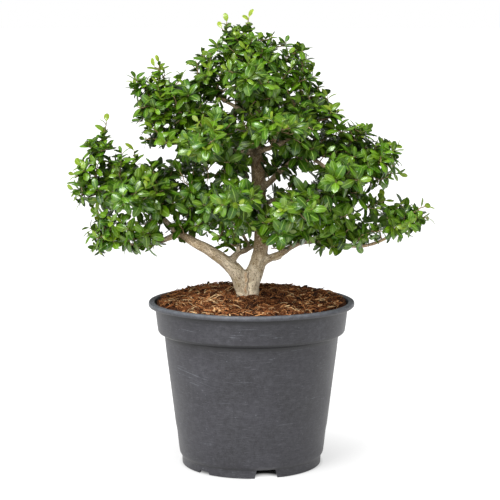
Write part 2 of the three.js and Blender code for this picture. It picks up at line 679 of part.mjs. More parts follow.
function whorlShape(random, attempt, rootDepth) {
  const leaves = attempt < 8 ? LEAVES_PER_WHORL : LEAVES_PER_WHORL - 1;
  const size = between(random, 0.9, 1.06) * (attempt < 8 ? 1 : 0.86);
  const spreads = [];
  for (let leaf = 0; leaf < leaves; leaf++) {
    spreads.push(between(random, 0.85, 1.2) + (leaf % 2 ? 0.2 : 0));
  }
  return { leaves, size, turn: between(random, 0, 2 * Math.PI), spreads, rootDepth };
}

function isClear(solid, obstacles) {
  return obstacles.every((obstacle) => !solidsMeet(solid, obstacle));
}

function growWhorl(site, spray, obstacles, random) {
  const rootDepth = Math.min(8, 0.75 * Math.min(spray.half.x, spray.half.y, spray.half.z));
  for (let attempt = 0; attempt < 14; attempt++) {
    const shape = whorlShape(random, attempt, rootDepth);
    const axis = site.axis.clone();
    axis.x += between(random, -0.25, 0.25);
    axis.y += between(random, -0.25, 0.25);
    axis.normalize();
    const place = site.place.clone().addScaledVector(axis, 1.5);
    const fat = placedWhorl(shape, place, axis, GAP);
    if (isClear(fat, obstacles)) return placedWhorl(shape, place, axis, 0);
  }
  return null;
}

// A shoot that stands out: a thin stem from the spray's core with a whorl at its tip

function growShoot(tip, spray, obstacles, random) {
  const start = spray.middle.clone().lerp(tip, 0.12);
  const bend = start.clone().lerp(tip, 0.6);
  bend.z -= 2;
  const axis = tip.clone().sub(bend).normalize();
  const hubPlace = tip.clone().addScaledVector(axis, -0.55 * LEAF_LENGTH);
  const stemEnd = hubPlace.clone().addScaledVector(axis, -1);
  const route = [start, bend, stemEnd].map((point, k) => [point.x, point.y, point.z, 1.5 - 0.2 * k]);
  const stem = toSolid(limb(route, SHOOT));
  for (let attempt = 0; attempt < 14; attempt++) {
    const shape = { ...whorlShape(random, attempt, 5), leaves: 4 };
    const fat = placedWhorl(shape, hubPlace, axis, GAP);
    const clear = isClear(fat, obstacles) && isClear(stem, obstacles);
    if (clear) return stem.add(placedWhorl(shape, hubPlace, axis, 0));
  }
  return null;
}

function nearestSpray(point, sprays) {
  return sprays.reduce((best, spray) => (
    insideShare(point, spray) < insideShare(point, best) ? spray : best));
}

function makeSprays(sprays, woodHole) {
  const random = randomNumbers(SEED);
  const cores = sprays.map((spray) => sprayCore(spray, random));
  const fatCores = cores.map((core, k) => grownCore(core, sprays[k].middle));
  const bodies = cores.map((core, k) => {
    let body = toSolid(core);
    for (let other = 0; other < k; other++) {
      if (solidsMeet(body, fatCores[other])) body = body.subtract(fatCores[other]);
    }
    return largestBody(body);
  });
  const coreBodies = [...bodies];
  const leaves = sprays.map(() => []);
  const obstaclesOf = (k) => [
    woodHole,
    ...coreBodies.filter((_, other) => other !== k),
    ...leaves.flat(),
  ];
  for (const [x, y, z] of SHOOT_TIPS) {
    const tip = new THREE.Vector3(x, y, z);
    const k = sprays.indexOf(nearestSpray(tip, sprays));
    const shoot = growShoot(tip, sprays[k], obstaclesOf(k).slice(1), random);
    if (shoot) leaves[k].push(shoot);
  }
  const taken = [];
  sprays.forEach((spray, k) => {
    const quota = Math.min(
      MOST_WHORLS, Math.round(((spray.half.x + spray.half.y) * spray.half.z) / WHORL_SHARE));
    let count = 0;
    for (const site of whorlSites(spray, sprays, random)) {
      if (count === quota) break;
      if (taken.some((place) => place.distanceTo(site.place) < WHORL_SPACING)) continue;
      const whorl = growWhorl(site, spray, obstaclesOf(k), random);
      if (!whorl) continue;
      leaves[k].push(whorl);
      taken.push(site.place);
      count += 1;
    }
  });
  return bodies.map((body, k) => {
    let spray = cleaned(largestBody(body.subtract(woodHole)));
    for (const growth of leaves[k]) {
      const grown = cleaned(largestBody(spray.add(growth.subtract(woodHole))));
      if (countSlivers(grown) <= countSlivers(spray)) spray = grown;
    }
    return spray;
  });
}

// The model

const FINISHES = {
  pot: new THREE.MeshStandardMaterial({ color: 0x47474d, roughness: 0.55, metalness: 0 }),
  soil: new THREE.MeshStandardMaterial({ color: 0x6b3a22, roughness: 0.95, metalness: 0 }),
  wood: new THREE.MeshStandardMaterial({ color: 0x8f7f68, roughness: 0.85, metalness: 0 }),
  leaf: new THREE.MeshStandardMaterial({ color: 0x35701f, roughness: 0.45, metalness: 0 }),
};

function addMesh(group, name, solid, material) {
  const mesh = new THREE.Mesh(toGeometry(solid), material);
  mesh.name = name;
  group.add(mesh);
}

function makeBonsai() {
  const bonsai = new THREE.Group();
  const sprays = makeSprayList();
  const woodHole = makeWood(sprays, WIDE_GAP);
  addMesh(bonsai, 'pot', cleaned(makePot()), FINISHES.pot);
  addMesh(bonsai, 'soil', cleaned(makeSoil(woodHole)), FINISHES.soil);
  addMesh(bonsai, 'trunk_and_boughs', cleaned(makeWood(sprays)), FINISHES.wood);
  const leafySprays = new THREE.Group();
  makeSprays(sprays, woodHole).forEach((solid, k) => {
    addMesh(leafySprays, sprays[k].name, solid, FINISHES.leaf);
  });
  bonsai.add(leafySprays);
  return bonsai;
}

export default makeBonsai();
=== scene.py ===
"""A kinme Japanese holly bonsai in its black plastic nursery pot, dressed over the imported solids.

Sizes are in millimetres in the solids' own frame, and turn to metres where a mesh is made.
"""

import logging
import math
from dataclasses import dataclass, field
from enum import Enum
from itertools import combinations

import bpy
import numpy as np
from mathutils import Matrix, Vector, noise
from mathutils.kdtree import KDTree


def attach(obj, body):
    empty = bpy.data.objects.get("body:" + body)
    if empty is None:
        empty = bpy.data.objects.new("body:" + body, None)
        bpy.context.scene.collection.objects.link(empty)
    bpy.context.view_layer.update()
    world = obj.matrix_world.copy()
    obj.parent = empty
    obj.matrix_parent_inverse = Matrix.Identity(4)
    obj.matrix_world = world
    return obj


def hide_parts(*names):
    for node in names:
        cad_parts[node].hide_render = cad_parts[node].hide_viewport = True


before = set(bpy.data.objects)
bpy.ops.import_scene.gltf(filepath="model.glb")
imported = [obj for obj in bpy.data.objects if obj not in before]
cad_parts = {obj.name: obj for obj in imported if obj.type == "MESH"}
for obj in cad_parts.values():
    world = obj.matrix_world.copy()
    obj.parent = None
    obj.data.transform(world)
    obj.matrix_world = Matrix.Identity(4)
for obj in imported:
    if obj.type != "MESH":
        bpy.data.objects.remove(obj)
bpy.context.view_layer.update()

LOG = logging.getLogger("bonsai")
MM = 0.001
TURN = 2 * math.pi
GOLDEN_TURN = math.radians(137.5)
SEED = 41
BODY = "root"
UP = np.array([0.0, 0.0, 1.0])
ACROSS = np.array([1.0, 0.0, 0.0])
# A direction with more rise than this is too upright to be crossed with UP
UPRIGHT = 0.9
# Angle in degrees over which an edge stays sharp on a round or ragged form
RAGGED = 80
# Short names for types
Rows = np.ndarray
Socket = bpy.types.NodeSocket
Draws = np.random.Generator


# Small helpers for points and colours


def unit(rows: Rows) -> Rows:
    """Gives each row the length one."""
    return rows / np.maximum(np.linalg.norm(rows, axis=-1, keepdims=True), 1e-9)


def tint(*parts: int) -> tuple:
    """Turns red, green and blue picked on a screen, 0 to 255, into the shader's own colour."""
    return (*((part / 255 / 12.92) if part < 11 else ((part / 255 + 0.055) / 1.055) ** 2.4
              for part in parts), 1.0)


def lumps(points: Rows, size: float, detail: int) -> Rows:
    """Reads smooth noise at points, about -1 to 1, by a lump's width and the finer layers."""
    return np.array([noise.fractal(Vector(row), 0.8, 2.1, detail) for row in points / size])


def layered(points: Rows, layers: tuple) -> Rows:
    """Adds up noise at points, by its height, a lump's width, its finer layers and its shift."""
    return sum(height * lumps(points + shift, size, detail)
               for height, size, detail, shift in layers)


def curve_weights(share: Rows) -> tuple[Rows, Rows, Rows, Rows]:
    """Gives the weights that make a cubic curve between two points.

    Args:
        share: places along the curve, 0 to 1.

    Returns:
        The weights of the start, of the way it leaves, of the end and of the way it arrives.
    """
    square = share ** 2
    cube = share ** 3
    return (2 * cube - 3 * square + 1, cube - 2 * square + share, 3 * square - 2 * cube,
            cube - square)


def smooth_route(stations: tuple, step: float) -> Rows:
    """Runs a smooth curve through stations.

    Args:
        stations: rows of x, y, z and radius.
        step: distance between the points given back.

    Returns:
        Rows of x, y, z and radius along the curve.
    """
    knots = np.asarray(stations, float)
    spans = np.linalg.norm(np.diff(knots[:, :3], axis=0), axis=1)
    marks = np.concatenate([[0.0], np.cumsum(spans)])
    slopes = np.gradient(knots, marks, axis=0)
    count = max(3, math.ceil(marks[-1] / step) + 1)
    places = np.linspace(0, marks[-1], count)
    index = np.clip(np.searchsorted(marks, places, side="right") - 1, 0, len(spans) - 1)
    span = spans[index][:, None]
    start, leave, end, arrive = curve_weights((places - marks[index])[:, None] / span)
    return (start * knots[index] + leave * span * slopes[index]
            + end * knots[index + 1] + arrive * span * slopes[index + 1])


def limb_frames(centres: Rows) -> tuple[Rows, Rows, Rows]:
    """Finds directions along and across many routes, with no twist along a route.

    Args:
        centres: routes, as an array of route, point and coordinate.

    Returns:
        The directions along, across and upward, each shaped as centres.
    """
    along = unit(np.gradient(centres, axis=1))
    spare = np.where(np.abs(along[:, :1, 2:]) < UPRIGHT, UP, ACROSS)
    across = [unit(np.cross(along[:, 0], spare[:, 0]))]
    for place in range(1, centres.shape[1]):
        tangent = along[:, place]
        lean = np.sum(across[-1] * tangent, axis=1, keepdims=True)
        across.append(unit(across[-1] - tangent * lean))
    sideways = np.stack(across, axis=1)
    return along, sideways, np.cross(along, sideways)


# Meshes


@dataclass
class Skin:
    """Points and faces of a mesh under way, with values kept for each point or face."""

    points: Rows
    faces: list[Rows]
    on_points: dict[str, Rows] = field(default_factory=dict)
    on_faces: dict[str, Rows] = field(default_factory=dict)


def wall_faces(rings: int, sides: int) -> Rows:
    """Gives the four-cornered faces between rings of points that follow one another.

    Args:
        rings: number of rings.
        sides: number of points in a ring.

    Returns:
        Four point numbers for each face.
    """
    ring = np.arange(sides)
    following = (ring + 1) % sides
    rows = np.arange(rings - 1)[:, None] * sides
    return np.stack([rows + ring, rows + following, rows + sides + following,
                     rows + sides + ring], axis=2).reshape(-1, 4)


def loft(rings: Rows) -> Skin:
    """Closes a skin over rings of points that run anticlockwise seen from the last ring.

    Args:
        rings: points, as an array of ring, point and coordinate.

    Returns:
        The closed skin.
    """
    count, sides, _ = rings.shape
    ring = np.arange(sides)
    return Skin(rings.reshape(-1, 3), [wall_faces(count, sides), ring[None, ::-1],
                                       (ring + (count - 1) * sides)[None]])


def tube_bundle(centres: Rows, radii: Rows, sides: int) -> Skin:
    """Makes closed tubes along routes that all have the same number of points.

    Args:
        centres: routes, as an array of route, point and coordinate.
        radii: the tubes' radii, as an array of route and point.
        sides: flats round a tube.

    Returns:
        One skin, with the straightened place of each point under the name grain.
    """
    tubes, rings, _ = centres.shape
    _, across, upward = limb_frames(centres)
    angles = np.arange(sides) * TURN / sides
    flat = np.stack([np.cos(angles), np.sin(angles)], axis=1)
    reach = radii[:, :, None, None]
    around = (across[:, :, None] * flat[None, None, :, :1]
              + upward[:, :, None] * flat[None, None, :, 1:]) * reach
    walls = centres[:, :, None] + around
    ends = centres[:, [0, -1]]
    points = np.concatenate([walls.reshape(tubes, -1, 3), ends], axis=1)
    steps = np.linalg.norm(np.diff(centres, axis=1), axis=2)
    lengths = np.concatenate([np.zeros((tubes, 1)), np.cumsum(steps, axis=1)], axis=1)
    grain = np.concatenate([
        np.broadcast_to(lengths[:, :, None, None], (tubes, rings, sides, 1)),
        np.broadcast_to(flat[None, None], (tubes, rings, sides, 2)) * reach], axis=3)
    caps = np.stack([lengths[:, [0, -1]], np.zeros((tubes, 2)), np.zeros((tubes, 2))], axis=2)
    grain = np.concatenate([grain.reshape(tubes, -1, 3), caps], axis=1)

    quads = wall_faces(rings, sides)
    ring = np.arange(sides)
    following = (ring + 1) % sides
    first = rings * sides
    last = (rings - 1) * sides
    bottom = np.stack([np.full(sides, first), following, ring], axis=1)
    top = np.stack([np.full(sides, first + 1), last + ring, last + following], axis=1)
    starts = (np.arange(tubes) * points.shape[1])[:, None, None]
    return Skin(points.reshape(-1, 3),
                [(quads[None] + starts).reshape(-1, 4),
                 (np.concatenate([bottom, top])[None] + starts).reshape(-1, 3)],
                {"grain": grain.reshape(-1, 3) * MM})


def single_tube(route: Rows, sides: int) -> Skin:
    """Makes one closed tube along rows of x, y, z and radius."""
    return tube_bundle(route[None, :, :3], route[None, :, 3], sides)


def joined(skins: list[Skin]) -> Skin:
    """Puts skins together as one, keeping the values that all of them have.

    Args:
        skins: skins in order.

    Returns:
        One skin.
    """
    starts = np.cumsum([0] + [len(skin.points) for skin in skins])
    faces = [part + start for skin, start in zip(skins, starts) for part in skin.faces]
    kept = [{name: np.concatenate([getattr(skin, kind)[name] for skin in skins])
             for name in getattr(skins[0], kind)} for kind in ("on_points", "on_faces")]
    return Skin(np.concatenate([skin.points for skin in skins]), faces, *kept)


def new_object(name: str, skin: Skin) -> bpy.types.Object:
    """Makes a Blender object from a skin.

    Args:
        name: name of the object and its mesh.
        skin: the points and faces, in millimetres.

    Returns:
        The object, linked to the scene.
    """
    mesh = bpy.data.meshes.new(name)
    faces = [row for part in skin.faces for row in part.tolist()]
    mesh.from_pydata((skin.points * MM).tolist(), [], faces)
    for domain, kept in (("POINT", skin.on_points), ("FACE", skin.on_faces)):
        for title, values in kept.items():
            keep_values(mesh, title, values, domain)
    mesh.update()
    made = bpy.data.objects.new(name, mesh)
    bpy.context.scene.collection.objects.link(made)
    return made


def rows_of(layer: bpy.types.bpy_prop_collection, title: str) -> Rows:
    """Reads three numbers for each point of a mesh.

    Args:
        layer: the mesh's points or what is kept for them.
        title: name of the numbers there.

    Returns:
        Rows of three numbers.
    """
    numbers = np.empty(len(layer) * 3, np.float32)
    layer.foreach_get(title, numbers)
    return numbers.reshape(-1, 3).astype(float)


def mesh_points(piece: bpy.types.Object) -> Rows:
    """Reads an object's points, in millimetres."""
    return rows_of(piece.data.vertices, "co") / MM


def mesh_normals(piece: bpy.types.Object) -> Rows:
    """Reads the directions in which an object's points face."""
    return rows_of(piece.data.vertex_normals, "vector")


def move_points(piece: bpy.types.Object, points: Rows) -> None:
    """Puts an object's points in new places, in millimetres."""
    piece.data.vertices.foreach_set("co", (points * MM).astype(np.float32).ravel())
    piece.data.update()


def keep_values(mesh: bpy.types.Mesh, title: str, values: Rows,
                domain: str = "POINT") -> None:
    """Keeps a number or a vector for each point or face of a mesh.

    Args:
        mesh: the mesh.
        title: name that the values are kept under.
        values: one number or row of three for each.
        domain: POINT or FACE.
    """
    kind, slot = ("FLOAT", "value") if values.ndim == 1 else ("FLOAT_VECTOR", "vector")
    layer = mesh.attributes.new(title, kind, domain)
    layer.data.foreach_set(slot, values.astype(np.float32).ravel())


def bake_modifiers(piece: bpy.types.Object) -> None:
    """Keeps the mesh that an object's modifiers give, and drops the modifiers.

    Args:
        piece: the object.
    """
    graph = bpy.context.evaluated_depsgraph_get()
    finished = bpy.data.meshes.new_from_object(piece.evaluated_get(graph))
    spent = piece.data
    piece.modifiers.clear()
    piece.data = finished
    bpy.data.meshes.remove(spent)


def fit_out(piece: bpy.types.Object, material: bpy.types.Material,
            stands_for: list[str], crease: float) -> None:
    """Finishes a piece: smooth shading, material, body and the nodes it stands for.

    Args:
        piece: the object.
        material: its material.
        stands_for: names of the solids that it takes the place of.
        crease: angle in degrees over which an edge stays sharp.
    """
    piece.data.shade_smooth()
    piece.data.set_sharp_from_angle(angle=math.radians(crease))
    piece.data.materials.clear()
    piece.data.materials.append(material)
    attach(piece, BODY)
    if stands_for:
        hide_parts(*stands_for)
    LOG.info("%s: %d points, %d faces", piece.name, len(piece.data.vertices),
             len(piece.data.polygons))


# Materials


class Recipe:
    """A node material under way, with short ways to add its nodes."""

    def __init__(self, name: str, roughness: float, specular: float) -> None:
        """Starts a material with its constant values set on the shader itself.

        Args:
            name: the material's name.
            roughness: roughness where nothing else is linked to it.
            specular: the specular level.
        """
        self.material = bpy.data.materials.new(name)
        self.material.use_nodes = True
        self.tree = self.material.node_tree
        self.shader = self.tree.nodes["Principled BSDF"]
        self.shader.inputs["Roughness"].default_value = roughness
        self.shader.inputs["Specular IOR Level"].default_value = specular
        self.place = self.node("ShaderNodeTexCoord", {}).outputs["Object"]
        self.colour = None

    def node(self, kind: str, values: dict, **settings: object) -> bpy.types.Node:
        """Adds a node.

        Args:
            kind: the node's type.
            values: a number or a socket for each named or numbered input.
            **settings: the node's own settings.

        Returns:
            The node.
        """
        made = self.tree.nodes.new(kind)
        for title, setting in settings.items():
            setattr(made, title, setting)
        for title, value in values.items():
            if isinstance(value, Socket):
                self.tree.links.new(value, made.inputs[title])
            else:
                made.inputs[title].default_value = value
        return made

    def kept(self, name: str, output: str = "Fac") -> Socket:
        """Reads a value kept on the mesh."""
        return self.node("ShaderNodeAttribute", {}, attribute_name=name).outputs[output]

    def stretched(self, scale: float, place: Socket | None = None,
                  axis: int = 0) -> Socket:
        """Scales a place along one axis, 0 for x to 2 for z, to stretch the pattern read there."""
        scales = [scale if part == axis else 1.0 for part in range(3)]
        values = {"Vector": place or self.place, "Scale": scales}
        return self.node("ShaderNodeMapping", values).outputs[0]

    def mottle(self, size: float, detail: float = 3, place: Socket | None = None,
               rough: float = 0.55) -> Socket:
        """Adds noise, 0 to 1, by a lump's width and the number and strength of finer layers."""
        values = {"Vector": place or self.place, "Detail": detail, "Roughness": rough}
        return self.node("ShaderNodeTexNoise", {**values, "Scale": 1 / (size * MM)}).outputs[0]

    def spots(self, size: float, place: Socket) -> Socket:
        """Gives the distance to scattered points that lie about a size apart."""
        return self.node("ShaderNodeTexVoronoi", {
            "Vector": place, "Scale": 1 / (size * MM)}).outputs["Distance"]

    def window(self, value: Socket, low: float, high: float,
               start: float = 0, end: float = 1) -> Socket:
        """Maps a value from the range low to high to the range start to end, and holds it there."""
        values = {"From Min": low, "From Max": high, "To Min": start, "To Max": end}
        return self.node("ShaderNodeMapRange", {"Value": value, **values}).outputs["Result"]

    def sum_of(self, kind: str, first: object, second: object = 0.0) -> Socket:
        """Does one sum on two values."""
        return self.node("ShaderNodeMath", {0: first, 1: second}, operation=kind).outputs[0]

    def product(self, first: object, second: object) -> Socket:
        """Multiplies two values."""
        return self.sum_of("MULTIPLY", first, second)

    def less(self, first: object, second: object) -> Socket:
        """Takes the second value from the first."""
        return self.sum_of("SUBTRACT", first, second)

    def near(self, middle: tuple[float, float, float], reach: float) -> Socket:
        """Gives one at a place, falling to nothing at a distance from it.

        Args:
            middle: the place, in millimetres.
            reach: the distance, in millimetres.

        Returns:
            The nearness, 0 to 1.
        """
        ends = {0: self.place, 1: [part * MM for part in middle]}
        gap = self.node("ShaderNodeVectorMath", ends, operation="DISTANCE").outputs["Value"]
        return self.window(gap, 0, reach * MM, 1, 0)

    def split(self, place: Socket) -> bpy.types.NodeOutputs:
        """Splits a place into its three numbers."""
        return self.node("ShaderNodeSeparateXYZ", {"Vector": place}).outputs

    def blend(self, share: object, under: object, over: object) -> Socket:
        """Mixes two colours by the share of the second."""
        return self.node("ShaderNodeMix", {0: share, 6: under, 7: over},
                         data_type="RGBA").outputs[2]

    def lay(self, share: object, over: object) -> None:
        """Lays a colour over the colour so far, as strongly as the share says."""
        self.colour = self.blend(share, self.colour, over)

    def layer(self, pattern: Socket, window: tuple, over: object, share: Socket | None = None
              ) -> None:
        """Lays a colour where a window lets a pattern through, thinned by a share."""
        strength = self.window(pattern, *window)
        self.lay(strength if share is None else self.product(strength, share), over)

    def ramp(self, value: Socket, stops: list) -> Socket:
        """Picks a colour along a row of stops.

        Args:
            value: place along the row, 0 to 1.
            stops: pairs of a place and a colour.

        Returns:
            The colour.
        """
        made = self.node("ShaderNodeValToRGB", {"Fac": value})
        band = made.color_ramp.elements
        while len(band) < len(stops):
            band.new(0.5)
        for element, (place, colour) in zip(band, stops):
            element.position = place
            element.color = colour
        return made.outputs["Color"]

    def roughened(self, value: Socket) -> None:
        """Feeds the shader's roughness."""
        self.tree.links.new(value, self.shader.inputs["Roughness"])

    def bumped(self, height: Socket, depth: float) -> None:
        """Feeds the shader's bump from a height and its depth in millimetres."""
        bump = self.node("ShaderNodeBump", {"Height": height, "Distance": depth * MM})
        self.tree.links.new(bump.outputs[0], self.shader.inputs["Normal"])

    def finished(self) -> bpy.types.Material:
        """Feeds the shader's colour and gives the material."""
        self.tree.links.new(self.colour, self.shader.inputs["Base Color"])
        return self.material


# A finish's windows: the values of a pattern at which a layer starts and is full, and the
# layer's strength at each


@dataclass(frozen=True)
class PlasticFinish:
    """Matte charcoal plastic: worn along the lip, with a painted highlight on its top, scratched
    level, and with painted shade in its creases.
    """

    dark: tuple = tint(27, 26, 31)
    light: tuple = tint(39, 38, 44)
    # pale grey of the wear, also laid as the painted sheen in some of the paler patches
    wear_and_sheen: tuple = tint(96, 97, 103)
    # pale grey of the scratches and nicks, and of the lip's worn top, which also carries a painted
    # highlight
    lip: tuple = tint(112, 117, 124)
    # colour of the painted shade in the creases
    crease: tuple = tint(8, 8, 10)
    blotch_wear: tuple = (0.42, 0.66, 0, 0.13)
    grain_wear: tuple = (0.4, 0.62, 0, 0.08)
    patches: tuple = (0.46, 0.64, 0.15, 1)
    scratches: tuple = (0.6, 0.7, 0, 0.6)
    fine_lines: tuple = (0.54, 0.7, 0, 0.4)
    scuffs: tuple = (0.61, 0.72, 0, 0.45)
    nicks: tuple = (0.05, 0.1, 0.75, 0)
    rubbing_and_sheen: tuple = (0.35, 0.7, 0, 0.26)
    ragged: tuple = (0.38, 0.62, 0.12, 0.6)
    uneven: tuple = (0.3, 0.65, 0.45, 1)
    gloss: tuple = (0.3, 0.7, 0.38, 0.5)
    # heights in metres between which the lip's wear and its painted highlight grow, and where they
    # begin
    lip_wear_and_highlight: tuple = (0.1782, 0.1811, 0.1, 0.78)
    lip_start: tuple = (0.1764, 0.177)
    relief: float = 0.04
    # painted shade in the creases under the lip, under the ledge and above the foot: heights in
    # metres where it starts, is darkest, fades and ends, and its strength
    crease_shades: tuple = ((0.1698, 0.175, 0.1765, 0.1771, 1.0), (0.1403, 0.144, 0.149, 0.15, 0.85),
                      (0.0086, 0.0094, 0.0102, 0.0118, 0.5))
    # middles and reach of the patches laid paler, partly rubbed wear and partly a painted sheen
    rubs_and_sheen: tuple = (((-35, -104, 160), 26), ((-62, -78, 110), 24), ((-22, -92, 74), 11),
                   ((70, -74, 160), 20))
    # scratches on the front: middle x and height, half length, rise to the right, half breadth
    scores: tuple = (
        (-14, 160.5, 9, 0.04, 0.45), (-20, 158, 6, -0.06, 0.4), (14, 161, 8, 0.02, 0.4),
        (27, 157.5, 7, 0.05, 0.4), (-4, 167, 12, 0.03, 0.35), (-66, 161, 9, -0.08, 0.4),
        (-70, 113, 13, -0.18, 0.45), (-58, 110.5, 15, -0.24, 0.4), (-68, 108, 9, -0.12, 0.5),
        (-50, 103, 12, -0.3, 0.35), (-62, 101.5, 8, -0.2, 0.4), (-74, 117, 7, -0.1, 0.4),
        (25, 134.2, 2.6, 0.15, 0.6), (20, 133, 3, 0.02, 0.35), (50, 141, 12, 0.03, 0.3),
        (-30, 84, 10, 0.02, 0.3), (66, 84, 9, 0.05, 0.3), (-8, 108, 12, 0.02, 0.25),
        (-48, 36, 9, 0.03, 0.3), (38, 60, 14, 0.02, 0.25))

    def build(self) -> bpy.types.Material:
        """Makes the material.

        Returns:
            The material.
        """
        mix = Recipe("charcoal_plastic", 0.5, 0.5)
        height = mix.kept("level")
        cloud = mix.mottle(45, 3)
        grain = mix.mottle(1.1, 2)
        blotch = mix.mottle(5, 4, rough=0.7)
        level = mix.mottle(26, 6, mix.stretched(30, axis=2), 0.75)
        mix.colour = mix.ramp(cloud, [(0.3, self.dark), (0.7, self.light)])
        mix.layer(blotch, self.blotch_wear, self.wear_and_sheen)
        mix.layer(grain, self.grain_wear, self.wear_and_sheen)
        self.scratch(mix, level)
        # paler patches: partly wear, partly painted sheen
        for middle, reach in self.rubs_and_sheen:
            mix.layer(blotch, self.rubbing_and_sheen, self.wear_and_sheen, mix.near(middle, reach))
        ragged = mix.window(blotch, *self.ragged)
        for score in self.scores:
            mix.lay(mix.product(self.scored(mix, *score), ragged), self.lip)
        # the lip's top is laid paler: worn, and a painted highlight where the light falls on it
        rubbed_and_lit = mix.product(mix.window(height, *self.lip_wear_and_highlight),
                             mix.window(height, *self.lip_start))
        mix.layer(mix.mottle(5, 4), self.uneven, self.lip, rubbed_and_lit)
        # painted shade in the creases under the lip, the ledge and above the foot
        for start, darkest, fading, end, strength in self.crease_shades:
            falling = mix.window(height, fading, end, 1, 0)
            mix.layer(height, (start, darkest, 0, strength), self.crease, falling)
        mix.roughened(mix.window(cloud, *self.gloss))
        mix.bumped(mix.sum_of("ADD", grain, level), self.relief)
        return mix.finished()

    def scratch(self, mix: Recipe, level: Socket) -> None:
        """Lays on the level scratches, the scuffs and the nicks, which gather in patches.

        Args:
            mix: the recipe to lay them in.
            level: noise that is drawn out level.
        """
        patches = mix.window(mix.mottle(21, 3), *self.patches)
        fine = mix.mottle(9, 4, mix.stretched(14, axis=2), 0.7)
        scuff = mix.mottle(7, 6, mix.stretched(2.5, axis=2), 0.8)
        nick = mix.spots(9, mix.stretched(2.2, axis=2))
        mix.layer(level, self.scratches, self.wear_and_sheen, patches)
        mix.layer(fine, self.fine_lines, self.wear_and_sheen)
        mix.layer(scuff, self.scuffs, self.wear_and_sheen, patches)
        mix.layer(nick, self.nicks, self.lip, patches)

    @staticmethod
    def scored(mix: Recipe, x: float, z: float, half: float, rise: float, breadth: float
               ) -> Socket:
        """Draws one thin scratch.

        Args:
            mix: the recipe to draw in.
            x: its middle, from left to right.
            z: its height.
            half: half its length.
            rise: how steeply it climbs to the right.
            breadth: half its breadth.

        Returns:
            One on the scratch, falling to nothing at its ends and edges.
        """
        across, _, height = mix.split(mix.place)
        ahead = mix.less(across, x * MM)
        above = mix.less(mix.less(height, z * MM), mix.product(ahead, rise))
        thin = mix.window(mix.sum_of("ABSOLUTE", above), 0.2 * breadth * MM, breadth * MM, 1, 0)
        ends = mix.window(mix.sum_of("ABSOLUTE", ahead), 0.4 * half * MM, half * MM, 1, 0)
        return mix.product(thin, ends)


@dataclass(frozen=True)
class BarkFinish:
    """Holly bark: pale beige on the old wood, brown on boughs, dark on fine twigs."""

    pale: tuple = tint(255, 240, 210)
    grey: tuple = tint(244, 228, 200)
    brown: tuple = tint(128, 108, 76)
    dark: tuple = tint(104, 80, 50)
    green: tuple = tint(136, 142, 70)
    twig: tuple = tint(162, 132, 90)
    stain: tuple = tint(150, 128, 86)
    crack: tuple = tint(84, 66, 48)
    pore: tuple = tint(112, 84, 54)
    rust: tuple = tint(190, 138, 88)
    bough_ages: tuple = (0, 0.5)
    twig_ages: tuple = (0.45, 1)
    shoot_ages: tuple = (1.2, 2)
    boughs: tuple = (0.4, 0.7, 0.1, 0.7)
    cracks: tuple = (0.5, 0.68)
    crack_by_age: tuple = (0.05, 0.6, 0.36, 0.95)
    stains: tuple = (0.48, 0.64)
    stain_by_age: tuple = (0, 0.5, 0.3, 0.7)
    specks: tuple = (0.54, 0.66)
    speck_by_age: tuple = (0, 0.35, 0.3, 0.7)
    speck_on_twigs: tuple = (0.5, 1, 1, 0.5)
    flecks: tuple = (0.46, 0.32, 0, 0.5)
    pores: tuple = (0.1, 0.2, 1, 0)
    pore_strength: float = 0.7
    streaks: tuple = (0, -1, 0, 0.6)
    seams: tuple = (0, 1, 0, 0.85)
    dullness: tuple = (0.3, 0.7, 0.68, 0.9)
    relief: float = 0.5

    def build(self) -> bpy.types.Material:
        """Makes the material.

        Returns:
            The material.
        """
        mix = Recipe("holly_bark", 0.78, 0.3)
        age = mix.kept("age")
        grain = mix.kept("grain", "Vector")
        seam = mix.kept("seam")
        patch = mix.mottle(13, 4, mix.stretched(0.6, grain))
        fibre = mix.mottle(2.6, 5, mix.stretched(0.3, grain), 0.65)
        blot = mix.mottle(9, 4, mix.stretched(0.7, grain), 0.65)
        speck = mix.mottle(1.1, 3, grain)
        pores = mix.window(mix.spots(5, mix.stretched(0.7, grain)), *self.pores)
        bough = mix.blend(mix.window(patch, *self.boughs), self.brown, self.grey)
        young = mix.ramp(patch, [(0.3, self.dark), (0.6, self.twig)])
        mix.colour = mix.ramp(patch, [(0.3, self.grey), (0.62, self.pale)])
        mix.layer(age, self.bough_ages, bough)
        mix.layer(age, self.twig_ages, young)
        mix.layer(age, self.shoot_ages, self.green)
        mix.layer(fibre, self.cracks, self.crack, mix.window(age, *self.crack_by_age))
        mix.layer(blot, self.stains, self.stain, mix.window(age, *self.stain_by_age))
        specks = mix.product(mix.window(speck, *self.specks),
                             mix.window(age, *self.speck_by_age))
        specks = mix.product(specks, mix.window(age, *self.speck_on_twigs))
        mix.lay(specks, self.crack)
        mix.layer(speck, self.flecks, self.pale)
        mix.lay(mix.product(pores, self.pore_strength), self.pore)
        mix.layer(seam, self.streaks, self.rust)
        mix.layer(seam, self.seams, self.crack)
        mix.roughened(mix.window(fibre, *self.dullness))
        mix.bumped(mix.less(patch, mix.sum_of("ADD", pores, fibre)), self.relief)
        return mix.finished()


